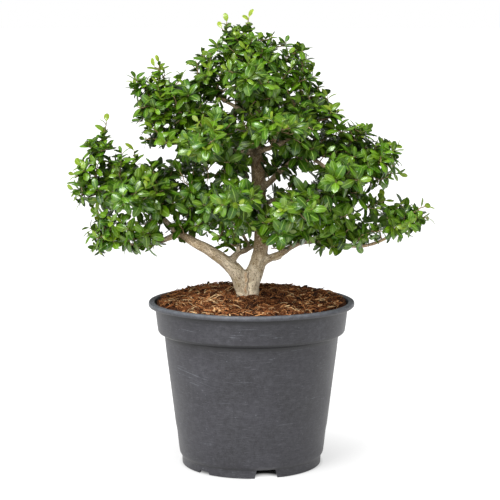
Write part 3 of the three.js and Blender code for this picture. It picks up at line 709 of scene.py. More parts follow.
@dataclass(frozen=True)
class LeafFinish:
    """Glossy holly leaves: dark and mid green, yellow-green when young, paler underneath."""

    deep: tuple = tint(14, 45, 0)
    middle: tuple = tint(58, 104, 2)
    fresh: tuple = tint(98, 144, 5)
    olive: tuple = tint(100, 116, 14)
    young: tuple = tint(152, 170, 40)
    rib: tuple = tint(134, 166, 70)
    below: tuple = tint(68, 96, 20)
    glint: tuple = tint(228, 252, 232)
    olive_patches: tuple = (0.45, 0.68, 0, 0.5)
    shades: tuple = (0.35, 0.7, 0, 0.35)
    vein_lines: tuple = (0.8, 1, 0, 0.22)
    rib_line: tuple = (0.04, 0.16, 0.9, 0)
    gloss: tuple = (0.3, 0.7, 0.3, 0.46)
    # pairs of side veins, and how far they slant to the tip
    veins: int = 8
    vein_slant: float = 0.22
    below_strength: float = 0.7
    below_dullness: float = 0.25
    relief: float = 0.12
    wax: float = 0.5
    wax_roughness: float = 0.22

    def build(self) -> bpy.types.Material:
        """Makes the material.

        Returns:
            The material.
        """
        mix = Recipe("holly_leaf", 0.34, 0.3)
        mix.shader.inputs["Specular Tint"].default_value = self.glint
        mix.shader.inputs["Coat Weight"].default_value = self.wax
        mix.shader.inputs["Coat Roughness"].default_value = self.wax_roughness
        below = mix.kept("below")
        across, along, _ = mix.split(mix.kept("blade", "Vector"))
        side = mix.sum_of("ABSOLUTE", across)
        patch = mix.mottle(4, 3)
        # the tone kept on each leaf is darker deep in the crown, partly the leaves' age and partly
        # painted shade
        mix.colour = mix.ramp(mix.kept("tone"), [
            (0.0, self.deep), (0.5, self.middle), (1.0, self.fresh)])
        mix.layer(mix.mottle(15, 2), self.olive_patches, self.olive)
        mix.lay(mix.kept("youth"), self.young)
        mix.layer(patch, self.shades, self.deep)
        slant = mix.less(along, mix.product(side, self.vein_slant))
        comb = mix.sum_of("SINE", mix.product(slant, TURN * self.veins))
        lines = mix.sum_of("MAXIMUM", mix.window(comb, *self.vein_lines),
                           mix.window(side, *self.rib_line))
        mix.lay(lines, self.rib)
        mix.lay(mix.product(below, self.below_strength), self.below)
        mix.roughened(mix.sum_of("ADD", mix.window(patch, *self.gloss),
                                 mix.product(below, self.below_dullness)))
        mix.bumped(mix.less(patch, lines), self.relief)
        return mix.finished()


@dataclass(frozen=True)
class SoilFinish:
    """Coir and composted bark: the dark ground between the chips."""

    black: tuple = tint(28, 15, 9)
    brown: tuple = tint(82, 46, 24)
    rust: tuple = tint(128, 74, 40)
    damp: tuple = (0.5, 0.65, 0, 0.5)
    relief: float = 1.2

    def build(self) -> bpy.types.Material:
        """Makes the material.

        Returns:
            The material.
        """
        mix = Recipe("potting_ground", 0.95, 0.2)
        mix.colour = mix.ramp(mix.mottle(5, 6, rough=0.7), [
            (0.3, self.black), (0.52, self.brown), (0.72, self.rust)])
        mix.layer(mix.mottle(22, 2), self.damp, self.black)
        mix.bumped(mix.mottle(1.6, 5, rough=0.7), self.relief)
        return mix.finished()


@dataclass(frozen=True)
class LitterFinish:
    """Chips and fibres of the mix, from near black to pale straw."""

    black: tuple = tint(30, 17, 11)
    brown: tuple = tint(94, 54, 28)
    rust: tuple = tint(146, 88, 48)
    tan: tuple = tint(202, 142, 88)
    straw: tuple = tint(232, 198, 148)
    vein_lines: tuple = (0.45, 0.7, 0, 0.5)
    relief: float = 0.3

    def build(self) -> bpy.types.Material:
        """Makes the material.

        Returns:
            The material.
        """
        mix = Recipe("coir_litter", 0.85, 0.25)
        vein = mix.mottle(1.4, 4, rough=0.7)
        mix.colour = mix.ramp(mix.kept("hue"), [
            (0.0, self.black), (0.35, self.brown), (0.62, self.rust), (0.85, self.tan),
            (1.0, self.straw)])
        mix.layer(vein, self.vein_lines, self.black)
        mix.bumped(vein, self.relief)
        return mix.finished()


# The pot


@dataclass(frozen=True)
class Notch:
    """One of the notches in the pot's foot, at an angle from the front."""

    degrees: float
    wide: float = 22
    narrow: float = 18.8
    high: float = 9.4
    splay: float = 0.4
    foot: float = -2
    ends: tuple = (68, 86)
    # how far the points of the rounded corners lie out from the side, and under the top
    right_corner: tuple = ((0.7, 2.2), (0.2, 1.0), (-0.9, 0.3), (-2.2, 0))
    left_corner: tuple = ((-0.8, 0), (0.2, 0.5), (0.7, 2.2))

    def cutter(self) -> Skin:
        """Makes the block that cuts the notch.

        Returns:
            The block.
        """
        half_low = self.wide / 2 + self.splay
        half_high = self.narrow / 2
        outline = [(-half_low, self.foot), (half_low, self.foot)]
        outline += [(half_high + out, self.high - under) for out, under in self.right_corner]
        outline += [(-half_high - out, self.high - under) for out, under in self.left_corner]
        turn = math.radians(self.degrees)
        outward = np.array([math.sin(turn), -math.cos(turn), 0])
        sideways = np.array([math.cos(turn), math.sin(turn), 0])
        return loft(np.array([[outward * reach + sideways * across + UP * height
                               for across, height in outline] for reach in self.ends]))


@dataclass
class NurseryPot:
    """The black plastic pot: rolled lip, straight band, ledge, tapering wall and notched foot."""

    sides: int = 192
    notches: tuple = (Notch(-42, 15.5, 12.5, 3.6), Notch(12, 25, 20.6), Notch(138), Notch(192))
    drain_circle: float = 56
    drain_radius: float = 4.5
    drain_sides: int = 24
    drain_ends: tuple = (6, 15)
    drains: int = 6
    # height at which the wall is at its most uneven, and its waves: size, number and start
    uneven_at: float = 180
    waves: tuple = ((0.45, 2, 0.6), (0.2, 5, 2), (0.1, 9, 0))
    # how far the rim has sunk: in its middle, and more for each millimetre to the back
    rim_height: float = 181.5
    rim_drop: float = 1.5
    rim_lean: float = 0.0135
    sharp_over: float = 38
    profile: tuple = (
        # outside, from under the floor up to the lip
        (0, 9.8), (60, 9.8), (72.1, 9.7), (73.4, 8.6), (73.8, 0.5), (74.2, 0), (75.8, 0),
        (76.3, 0.5), (76.5, 5), (76.6, 8.6), (77.0, 9.6), (78.3, 11.2), (79.1, 12.8),
        (79.5, 14.6), (80.2, 20), (82.0, 36.7), (83.6, 45.5), (85.7, 63), (87.8, 80.7),
        (89.9, 98.3), (92.1, 116), (93.6, 129), (94.6, 139.5), (94.9, 144.2), (95.7, 145.1),
        (99.0, 146.5), (100.9, 147.6), (101.9, 149), (102.2, 150.4), (102.9, 156),
        (103.8, 164), (104.6, 171), (105.1, 175.2), (105.5, 175.9), (106.3, 176.2),
        (109.8, 176.1), (111.2, 176.4), (111.9, 177.2), (112.1, 178.4), (112.0, 180),
        (111.5, 181.1), (110.6, 181.5), (109.2, 181.3), (107.6, 181.2), (106.4, 181.4),
        (105.7, 181.1), (105.4, 180.2),
        # inside, back down to the floor
        (104.6, 176.8), (103.4, 175), (102.6, 169.6), (101.4, 159), (100.5, 151.4),
        (99.8, 150.2), (94, 146.2), (93, 144.8), (90.6, 116), (86.3, 80.7), (80.4, 36.7),
        (78.7, 20), (77.9, 16.5), (77, 14.6), (75.8, 13), (74, 12), (60, 11.8), (0, 11.8))

    def shell(self) -> Skin:
        """Turns the profile round the pot's axis, with the small unevenness of thin plastic.

        Returns:
            The closed shell.
        """
        outline = np.array(self.profile[1:-1])
        angles = np.arange(self.sides) * TURN / self.sides - TURN / 4
        height = np.broadcast_to(outline[:, 1:], (len(outline), self.sides))
        sway = sum(size * np.cos(number * angles + start) for size, number, start in self.waves)
        reach = outline[:, :1] + np.clip(height / self.uneven_at, 0, 1) ** 2 * sway
        return loft(np.stack([reach * np.cos(angles), reach * np.sin(angles), height], axis=2))

    def cutters(self) -> Skin:
        """Makes the blocks for the notches and the drain holes.

        Returns:
            The blocks as one skin.
        """
        blocks = [notch.cutter() for notch in self.notches]
        circle = np.arange(self.drain_sides) * TURN / self.drain_sides
        for index in range(self.drains):
            turn = index * TURN / self.drains + TURN / (2 * self.drains)
            x = math.cos(turn) * self.drain_circle + self.drain_radius * np.cos(circle)
            y = math.sin(turn) * self.drain_circle + self.drain_radius * np.sin(circle)
            blocks.append(loft(np.stack([np.stack([x, y, np.full_like(x, end)], axis=1)
                                         for end in self.drain_ends])))
        return joined(blocks)

    def build(self) -> None:
        """Makes the pot."""
        pot = new_object("pot_shell", self.shell())
        tool = new_object("pot_cutters", self.cutters())
        cut = pot.modifiers.new("cut", "BOOLEAN")
        cut.operation = "DIFFERENCE"
        cut.solver = "EXACT"
        cut.use_self = False
        cut.object = tool
        bake_modifiers(pot)
        bpy.data.objects.remove(tool)
        points = mesh_points(pot)
        keep_values(pot.data, "level", points[:, 2] * MM)
        lean = self.rim_drop + self.rim_lean * points[:, 1]
        points[:, 2] -= lean * (points[:, 2] / self.rim_height) ** 2
        move_points(pot, points)
        fit_out(pot, PlasticFinish().build(), ["pot"], self.sharp_over)


# The soil


@dataclass(frozen=True)
class Bits:
    """One size of the loose bits: the largest's half sizes, the most lift and lean, and hues."""

    count: int
    half_sizes: tuple
    lift: float
    lean: float
    hue: tuple


@dataclass(frozen=True)
class Fibres:
    """The coir fibres on the mound. Pairs are the least and the most, or a middle and a spread."""

    count: int = 1900
    points: int = 6
    sides: int = 3
    length: tuple = (6, 24)
    stretch: tuple = (0.6, 1.2)
    curl: tuple = (0, 0.9)
    arch: tuple = (0.2, 2.6)
    slant: tuple = (0, 1.1)
    radius: tuple = (0.16, 0.5)
    taper: float = 0.6
    lift: float = 0.4
    border: float = 7
    hue: tuple = (0.6, 0.26)


@dataclass
class SoilBed:
    """The mound of coir and bark that fills the pot, with its loose chips and fibres."""

    edge_height: float = 179.2
    crown: float = 6.8
    edge_radius: float = 105.2
    slope: float = 0.03
    # the heap at the back: its middle, rise and reach
    heap: tuple = (-34, 45, 3, 25)
    rim_radius: float = 103.6
    middle_radius: float = 1.2
    # radii and heights of the plain body under the mound
    below: tuple = ((72.5, 12.5), (75.8, 15.8), (78, 22), (92, 144), (98.9, 151), (101.7, 169.5))
    clods: tuple = ((1.5, 4.5, 2, 0), (2.3, 13, 1, 50))
    # width of the calmer edge, and the share of the clods left at the wall
    calm: tuple = (12, 0.25)
    # how far the ground lies under the bits
    sink: float = 0.8
    # middles and reach of the hollows in the front, dug into the mound, whose chips are darkened as
    # painted shade
    pockets: tuple = ((-4, -56, 8), (20, -14, 10), (48, -50, 8), (-62, -40, 8))
    pocket_depth: float = 4
    pocket_stretch: float = 1.6
    # single bits that the mound shows: x, y, lift, half sizes, heading, lean and hue
    lone_bits: tuple = (
        (-49, 72, 3.5, 2.2, 1.6, 1.4, 80, 75, 0.02), (-36, 76, 3.5, 2.6, 1.8, 1.4, 10, 60, 0.02),
        (61, 80, 2, 4, 2.2, 1.6, 20, 25, 0.05), (-87, 16, 2, 5, 2.2, 1.1, 15, 14, 0.72),
        (-80, 2, 2, 4, 1.8, 1.0, 160, -10, 0.76), (-92, -8, 1.4, 3.6, 1.6, 0.9, 70, 8, 0.66),
        (84, -50, 1.6, 5, 1.6, 0.8, 12, 6, 0.95), (-35, -70, 1.5, 4.4, 1.5, 0.8, 150, 5, 0.9),
        (-58, 30, 2.2, 5, 2.4, 1.3, 120, 20, 0.5), (44, 22, 2, 4.6, 2, 1.2, 35, 16, 0.82),
        (12, -84, 1.4, 4, 1.4, 0.8, 175, 4, 0.86), (70, 6, 2, 4.2, 2.2, 1.2, 95, 18, 0.1))
    lone_lean: float = 0.1
    rings: int = 60
    sides: int = 176
    # slabs, chips and crumbs
    loose: tuple = (Bits(230, (7, 2.8, 1.1), 1.8, 0.32, (0.55, 0.28)),
                    Bits(1000, (4.6, 1.7, 0.7), 1.5, 0.35, (0.52, 0.27)),
                    Bits(2300, (1.8, 1.4, 1.1), 1.0, 0.6, (0.32, 0.25)))
    loose_border: float = 4
    chip_sharp_over: float = 25
    fibres: Fibres = Fibres()

    def gloom(self, x: Rows, y: Rows) -> Rows:
        """Tells how far a place lies in one of the shaded hollows.

        Args:
            x: places across.
            y: places in depth.

        Returns:
            One in a hollow's middle and nothing well outside it.
        """
        depth = np.zeros(np.shape(x))
        for x_pocket, y_pocket, reach in self.pockets:
            gap = (x - x_pocket) ** 2 + ((y - y_pocket) / self.pocket_stretch) ** 2
            depth = np.maximum(depth, np.exp(-gap / reach ** 2))
        return depth

    def surface(self, x: Rows, y: Rows) -> Rows:
        """Gives the height of the mound, with its heap, waves, clods and hollows.

        Args:
            x: places across.
            y: places in depth.

        Returns:
            The heights.
        """
        reach = np.hypot(x, y)
        share = np.clip(reach / self.edge_radius, 0, 1)
        waves = (0.9 * np.sin(0.11 * x + 1.3) * np.cos(0.13 * y - 0.4)
                 + 0.7 * np.sin(0.23 * x - 0.17 * y))
        x_heap, y_heap, rise, width = self.heap
        heap = rise * np.exp(-((x - x_heap) ** 2 + (y - y_heap) ** 2) / (2 * width ** 2))
        mound = (self.edge_height + self.crown * (1 - share ** 2) + heap
                 + self.slope * y * (1 - share ** 3) + waves * (1 - share ** 4))
        flat = np.stack([x.ravel(), y.ravel(), np.zeros(x.size)], axis=1)
        breadth, least = self.calm
        calm = np.clip((self.rim_radius - reach) / breadth, least, 1)
        clods = layered(flat, self.clods).reshape(x.shape) * calm
        return mound + clods - self.pocket_depth * self.gloom(x, y)

    def ground(self) -> Skin:
        """Makes the mound: a rough top over a plain body that fills the pot.

        Returns:
            The closed skin.
        """
        reach = np.concatenate([[row[0] for row in self.below], np.linspace(
            self.rim_radius, self.middle_radius, self.rings)])
        angles = np.arange(self.sides) * TURN / self.sides
        x = reach[:, None] * np.cos(angles)
        y = reach[:, None] * np.sin(angles)
        z = self.surface(x, y) - self.sink
        for row, (_, height) in enumerate(self.below):
            z[row] = height
        return loft(np.stack([x, y, z], axis=2))

    def scatter(self, count: int, draws: Draws, border: float
                ) -> tuple[Rows, Rows]:
        """Picks even random places on the mound, clear of the pot and the trunk.

        Args:
            count: number of places.
            draws: the random numbers.
            border: distance kept from the pot's wall.

        Returns:
            The places across and in depth.
        """
        turn = draws.uniform(0, TURN, count)
        reach = (self.rim_radius - border) * np.sqrt(draws.uniform(0.012, 1, count))
        return reach * np.cos(turn), reach * np.sin(turn)

    def flakes(self, bits: Bits, hues: Rows, draws: Draws) -> Skin:
        """Scatters loose angular bits, whose colours gather in clumps and are darker in the hollows
        as painted shade.

        Args:
            bits: their number and sizes.
            hues: places on the litter's row of colours, one for each bit.
            draws: the random numbers.

        Returns:
            The bits as one skin.
        """
        count = bits.count
        x, y = self.scatter(count, draws, self.loose_border)
        z = self.surface(x, y) + draws.uniform(-0.3, 1, count) * bits.lift
        scale = np.array(bits.half_sizes) * draws.uniform(0.35, 1, (count, 1)) * draws.uniform(
            0.7, 1.2, (count, 3))
        flat = np.stack([x, y, np.zeros(count)], axis=1)
        # the chips in the hollows get darker hues: painted shade
        clumped_and_shaded = hues + 0.3 * lumps(flat + 90, 11, 2) - 0.5 * self.gloom(x, y)
        heading = draws.uniform(0, TURN, count)
        tilt = draws.normal(0, bits.lean, count)
        return self.laid(np.stack([x, y, z], axis=1), scale, heading, tilt,
                         np.clip(clumped_and_shaded, 0, 1), bits.lean, draws)

    def laid(self, places: Rows, scale: Rows, heading: Rows, tilt: Rows,
             hues: Rows, lean: float, draws: Draws) -> Skin:
        """Lays out angular bits.

        Args:
            places: the bits' middles.
            scale: half length, half width and half thickness of each.
            heading: the way each one points, in radians.
            tilt: how far each one rises to its tip, in radians.
            hues: places on the litter's row of colours.
            lean: how far a bit may roll, in radians.
            draws: the random numbers.

        Returns:
            The bits as one skin.
        """
        corners, sides = bit_shape()
        count = len(places)
        body = corners[None] * (1 + draws.uniform(-0.3, 0.3, (count, len(corners), 1)))
        body = body * scale[:, None]
        along = np.stack([np.cos(heading) * np.cos(tilt), np.sin(heading) * np.cos(tilt),
                          np.sin(tilt)], axis=1)
        roll = unit(np.cross(UP, along) + draws.normal(0, lean, (count, 3)) * 0.7)
        across = unit(roll - along * np.sum(roll * along, axis=1, keepdims=True))
        upward = np.cross(along, across)
        spots = (places[:, None] + body[:, :, :1] * along[:, None]
                 + body[:, :, 1:2] * across[:, None] + body[:, :, 2:] * upward[:, None])
        starts = (np.arange(count) * len(corners))[:, None, None]
        return Skin(spots.reshape(-1, 3), [(sides[None] + starts).reshape(-1, 3)],
                    {"hue": np.repeat(hues, len(corners))})

    def lone(self, draws: Draws) -> Skin:
        """Lays the single bits that stand out on the mound.

        Args:
            draws: the random numbers.

        Returns:
            The bits as one skin.
        """
        rows = np.array(self.lone_bits, float)
        x, y, lift = rows[:, :3].T
        places = np.stack([x, y, self.surface(x, y) + lift], axis=1)
        return self.laid(places, rows[:, 3:6], np.radians(rows[:, 6]), np.radians(rows[:, 7]),
                         rows[:, 8], self.lone_lean, draws)

    def threads(self, draws: Draws) -> Skin:
        """Makes the coir fibres: thin curved threads that lie on the mound.

        Args:
            draws: the random numbers.

        Returns:
            The fibres as one skin.
        """
        kind = self.fibres
        count = kind.count
        x, y = self.scatter(count, draws, kind.border)
        length = draws.uniform(*kind.length, count) * draws.uniform(*kind.stretch, count)
        heading = draws.uniform(0, TURN, count)
        curl = draws.normal(*kind.curl, count)
        share = np.linspace(-0.5, 0.5, kind.points)
        bend = heading[:, None] + curl[:, None] * share[None]
        step = (length / (kind.points - 1))[:, None]
        path_x = x[:, None] + np.cumsum(np.cos(bend) * step, axis=1)
        path_y = y[:, None] + np.cumsum(np.sin(bend) * step, axis=1)
        reach = np.hypot(path_x, path_y)
        pull = np.minimum(1, (self.rim_radius - 2) / np.maximum(reach, 1))
        path_x = path_x * pull
        path_y = path_y * pull
        arch = draws.uniform(*kind.arch, count)[:, None] * (1 - (2 * share[None]) ** 2)
        rise = draws.normal(*kind.slant, count)[:, None] * share[None]
        path_z = self.surface(path_x, path_y) + kind.lift + arch + rise
        centres = np.stack([path_x, path_y, path_z], axis=2)
        thin = 1 - kind.taper * np.abs(2 * share) ** 3
        skin = tube_bundle(centres, draws.uniform(*kind.radius, count)[:, None] * thin, kind.sides)
        hues = np.clip(draws.normal(*kind.hue, count), 0, 1)
        skin.on_points = {"hue": np.repeat(hues, kind.points * kind.sides + 2)}
        return skin

    def build(self) -> None:
        """Makes the mound and what lies on it."""
        draws = np.random.default_rng(SEED)
        ground = new_object("soil_mound", self.ground())
        fit_out(ground, SoilFinish().build(), ["soil"], RAGGED)
        litter = LitterFinish().build()
        hues = [np.clip(draws.normal(*bits.hue, bits.count), 0, 1) for bits in self.loose]
        skins = [self.flakes(bits, row, draws) for bits, row in zip(self.loose, hues)]
        chips = new_object("soil_chips", joined([*skins, self.lone(draws)]))
        fit_out(chips, litter, [], self.chip_sharp_over)
        fibres = new_object("soil_fibres", self.threads(draws))
        fit_out(fibres, litter, [], RAGGED)


def bit_shape() -> tuple[Rows, Rows]:
    """Gives a round bit with twelve corners and twenty faces.

    Returns:
        The corners, at a distance of one from the middle, and three corner numbers for each face.
    """
    tall = (1 + math.sqrt(5)) / 2
    corners = []
    for first in (-1, 1):
        for second in (-tall, tall):
            corners += [(first, second, 0), (0, first, second), (second, 0, first)]
    spots = unit(np.array(corners, float))
    # neighbouring corners lie 1.05 apart, and all others at least 1.7
    neighbours = 1.1
    triangles = []
    for trio in combinations(range(len(spots)), 3):
        one, two, three = spots[list(trio)]
        if max(np.linalg.norm(side) for side in (one - two, two - three, three - one)) < neighbours:
            outward = np.cross(two - one, three - one) @ one > 0
            triangles.append(trio if outward else (trio[0], trio[2], trio[1]))
    return spots, np.array(triangles)


# The wood


class Age(Enum):
    """How old a limb's bark is, which sets its colour."""

    OLD = 0.0
    MIDDLE = 0.5
    TWIG = 1.0
    SHOOT = 1.8


@dataclass(frozen=True)
class Limb:
    """One limb: its stations, as x, y, z and radius, and its bark's age from base to tip."""

    stations: tuple
    base: float
    tip: float


TRUNK = Limb((
    (-4, 0, 138, 2.5), (-4, 0, 160, 8), (-4, 0, 178, 12.2), (-3.6, 0, 187, 11.8),
    (-1.8, 0, 199, 11), (3.2, 0, 211, 9.7), (6.9, 0, 221, 8.8), (9.8, 0, 235, 8.2),
    (11.2, 2, 252, 8), (10.2, 6, 273, 8), (8, 10, 295, 7.9), (8, 12, 311, 7.8),
    (5.5, 12, 333, 7.2), (3.5, 10, 349, 6.6), (4, 6, 371, 5.6), (5, 2, 392, 4.8),
    (9, 0, 411, 4.1), (7, 1.5, 433, 3.2), (1, 4, 452, 2.2)), Age.OLD.value, Age.TWIG.value)
LEG = Limb((
    (-6, 0, 182, 8.5), (-10, -1, 198, 9.6), (-15.2, -2, 210, 8.9), (-21.5, -3, 217.2, 7.9),
    (-28, -4, 223, 7.1), (-36, -5, 229.3, 6.6), (-47, -7, 236.8, 6.1), (-60, -8, 243.8, 5.3),
    (-73, -6, 251, 4.4), (-84, -4, 254, 3.8)), 0.24, 0.78)
ROOTS = tuple(Limb(stations, Age.OLD.value, 0.3) for stations in (
    ((-10, -4, 183, 4.6), (-21, -9, 179, 3), (-33, -15, 170, 1.5)),
    ((1, -6, 183, 4.6), (8, -16, 179, 3), (14, -27, 170, 1.4)),
    ((2, 2, 183, 4.6), (13, 6, 179.5, 3), (28, 10, 171, 1.5)),
    ((-4, 7, 185, 4.4), (-8, 19, 182, 3), (-14, 32, 173, 1.5)),
    ((-10, 4, 184, 4.4), (-20, 10, 181, 3), (-34, 18, 172, 1.5))))
STUBS = tuple(Limb(stations, 0.2, 0.3) for stations in (
    ((-6.5, -3, 204, 4.4), (-4.8, -5, 213, 3.3)),
    ((-14, 3, 232, 3), (-14.5, 4, 237, 2.3), (-13.5, 4, 245, 1.5)),
    ((24, -2, 227, 3.7), (32, -4, 229.6, 3.3))))
BOUGHS = tuple(Limb(stations, 0.35, Age.TWIG.value) for stations in (
    # the left leg's two arms
    ((-80, -4, 253.5, 3.6), (-99, -10, 246.5, 2.9), (-115, -16, 243, 2.5),
     (-131, -20, 244, 2.1), (-154, -14, 254, 1.5)),
    ((-80, -4, 253.5, 3.5), (-88, 0, 262, 3), (-97, 1, 270, 2.7), (-108, 2, 277, 2.4),
     (-127, 0, 285, 2.1), (-148, -4, 294, 1.8), (-172, -9, 304, 1.3)),
    # low right bough
    ((8, 0, 219, 6), (14, -1, 223.8, 5), (20, -2, 226.8, 4.2), (32, -4, 232, 3.7),
     (39, -5, 237, 3), (51, -7, 243.6, 2.5), (68, -10, 246.5, 2.4), (94, -10, 243, 2.2),
     (109, -8, 241, 1.9), (123, -6, 241, 1.8), (140, -4, 246, 1.6), (156, -2, 255, 1.4),
     (174, 0, 268, 1)),
    # off the left leg, behind the trunk and out to the low back right
    ((-26, -4, 219, 4.6), (-20.5, -2, 225.8, 4.3), (-14.4, 3, 231.8, 3.5), (-7, 9, 233.9, 2.8),
     (1, 16, 237, 2.4), (20, 44, 250, 2.2), (56, 104, 263, 1.2))))
BRANCHES = tuple(Limb(stations, Age.MIDDLE.value, Age.TWIG.value) for stations in (
    # rising right bough, and the one below it
    ((9, 11, 300, 4.2), (18, 8, 307, 3.4), (30, 4, 320, 3.1), (42, 0, 331, 2.8),
     (60, -4, 339, 2.4), (78, -2, 342, 2.1), (100, 2, 338, 1.8), (130, 2, 336, 1.2)),
    ((10, 10, 283, 3.2), (26, 14, 289, 2.6), (51, 13.4, 292, 2.3), (74, 10, 293, 2.1),
     (104, 2, 299, 1.3)),
    # bough that crosses the front of the trunk
    ((4, 9, 340, 3.6), (8, -6, 344, 3), (24, -20, 350, 2.7), (39, -28, 358, 2.3),
     (50, -34, 370, 1.6), (74, -8, 377, 1)),
    # left middle, lower left middle and upper left
    ((3, 10, 342, 3.6), (-6, 4, 342, 3.2), (-17, 0, 343, 2.8), (-32, -6, 349, 2.5),
     (-49, -10, 360, 2.2), (-74, -12, 384, 1.8), (-106, -2, 397, 1.2)),
    ((3, 9, 336, 2.6), (-12, -8, 332, 2.2), (-29, -30, 334, 1.9), (-48, -28, 340, 1.6),
     (-76, -20, 355, 1.1)),
    ((4, 6, 372, 3), (-6, 0, 384, 2.5), (-25, -2, 396, 2), (-44, 6, 406, 1.6),
     (-60, 10, 413, 1.1)),
    # top right
    ((6, 2, 396, 2.8), (24, 2, 406, 2.3), (40, 0, 418, 1.8), (60, 0, 402, 1.1)),
    # thin upright off the back of the branch behind the trunk
    ((-2, 14, 236, 2), (-8, 13, 248, 1.7), (-19, 8, 264, 1.5), (-34, 0, 279, 1.3),
     (-50, -5, 290, 1)),
    # back boughs
    ((10, 8, 268, 3.4), (-6, 40, 270, 2.7), (-26, 74, 272, 2.1), (-52, 103, 272, 1.2)),
    ((5, 13, 330, 3.2), (0, 46, 340, 2.6), (-8, 80, 346, 2), (-18, 106, 347, 1.2)),
    ((4, 8, 362, 3), (18, 40, 372, 2.4), (34, 74, 377, 1.8), (46, 98, 376, 1.2)),
    ((4, 8, 356, 2.8), (-18, 40, 366, 2.3), (-44, 68, 372, 1.8), (-66, 90, 373, 1.2)),
    ((6, 2, 404, 2.6), (5, 24, 418, 2), (2, 58, 431, 1.2)),
    ((60, -3, 339, 2.2), (78, 26, 338, 1.9), (96, 58, 337, 1.5), (109, 80, 336, 1)),
    ((-97, 1, 270, 2.4), (-108, 24, 284, 2), (-119, 50, 294, 1.5), (-128, 70, 299, 1)),
    # front boughs
    ((10, 4, 276, 3.2), (2, -28, 290, 2.6), (-8, -66, 300, 2), (-20, -104, 304, 1.2)),
    ((32, -4, 234, 3), (38, -32, 256, 2.4), (44, -68, 280, 1.9), (50, -104, 293, 1.2)),
    ((22, -19, 350, 2.4), (26, -46, 364, 2), (30, -78, 374, 1.6), (33, -106, 378, 1.1)),
    ((-30, -5, 348, 2.4), (-38, -34, 355, 2), (-44, -66, 360, 1.6), (-49, -98, 361, 1.1)),
    ((7, 0, 400, 2.6), (4, -28, 410, 2.1), (-2, -60, 421, 1.6), (-6, -90, 427, 1)),
    ((62, -4, 339, 2.2), (74, -28, 332, 1.9), (86, -56, 326, 1.5), (96, -80, 324, 1)),
    ((-99, 1, 271, 2.4), (-108, -24, 284, 2), (-118, -50, 297, 1.5), (-128, -76, 304, 1))))


@dataclass(frozen=True)
class Seam:
    """The seam where leg and trunk grew together, on the front under the fork."""

    x: float = -3.9
    low: float = 186
    high: float = 213
    low_fade: float = 3
    high_fade: float = 2
    before: float = -3
    half_width: float = 0.85
    depth: float = 1.1
    # the rusty streak at its left, which stops where the crack is stronger than clear
    streak_gap: float = 2.3
    streak_half_width: float = 1.5
    clear: float = 0.35

    def strength(self, points: Rows) -> Rows:
        """Finds the seam.

        Args:
            points: rows of x, y and z.

        Returns:
            One in the crack, minus one on the rusty streak beside it, and nothing elsewhere.
        """
        x, y, z = points.T
        wander = self.x + 0.5 * np.sin(z * 0.9) + 0.4 * np.sin(z * 0.37 + 1)
        span = (np.clip((z - self.low) / self.low_fade, 0, 1)
                * np.clip((self.high - z) / self.high_fade, 0, 1) * (y < self.before))
        crack = np.exp(-((x - wander) / self.half_width) ** 2)
        streak = np.exp(-((x - wander + self.streak_gap) / self.streak_half_width) ** 2)
        streak = streak * np.clip(0.6 + lumps(points, 5, 2), 0, 1)
        return (crack - streak * (crack < self.clear)) * span


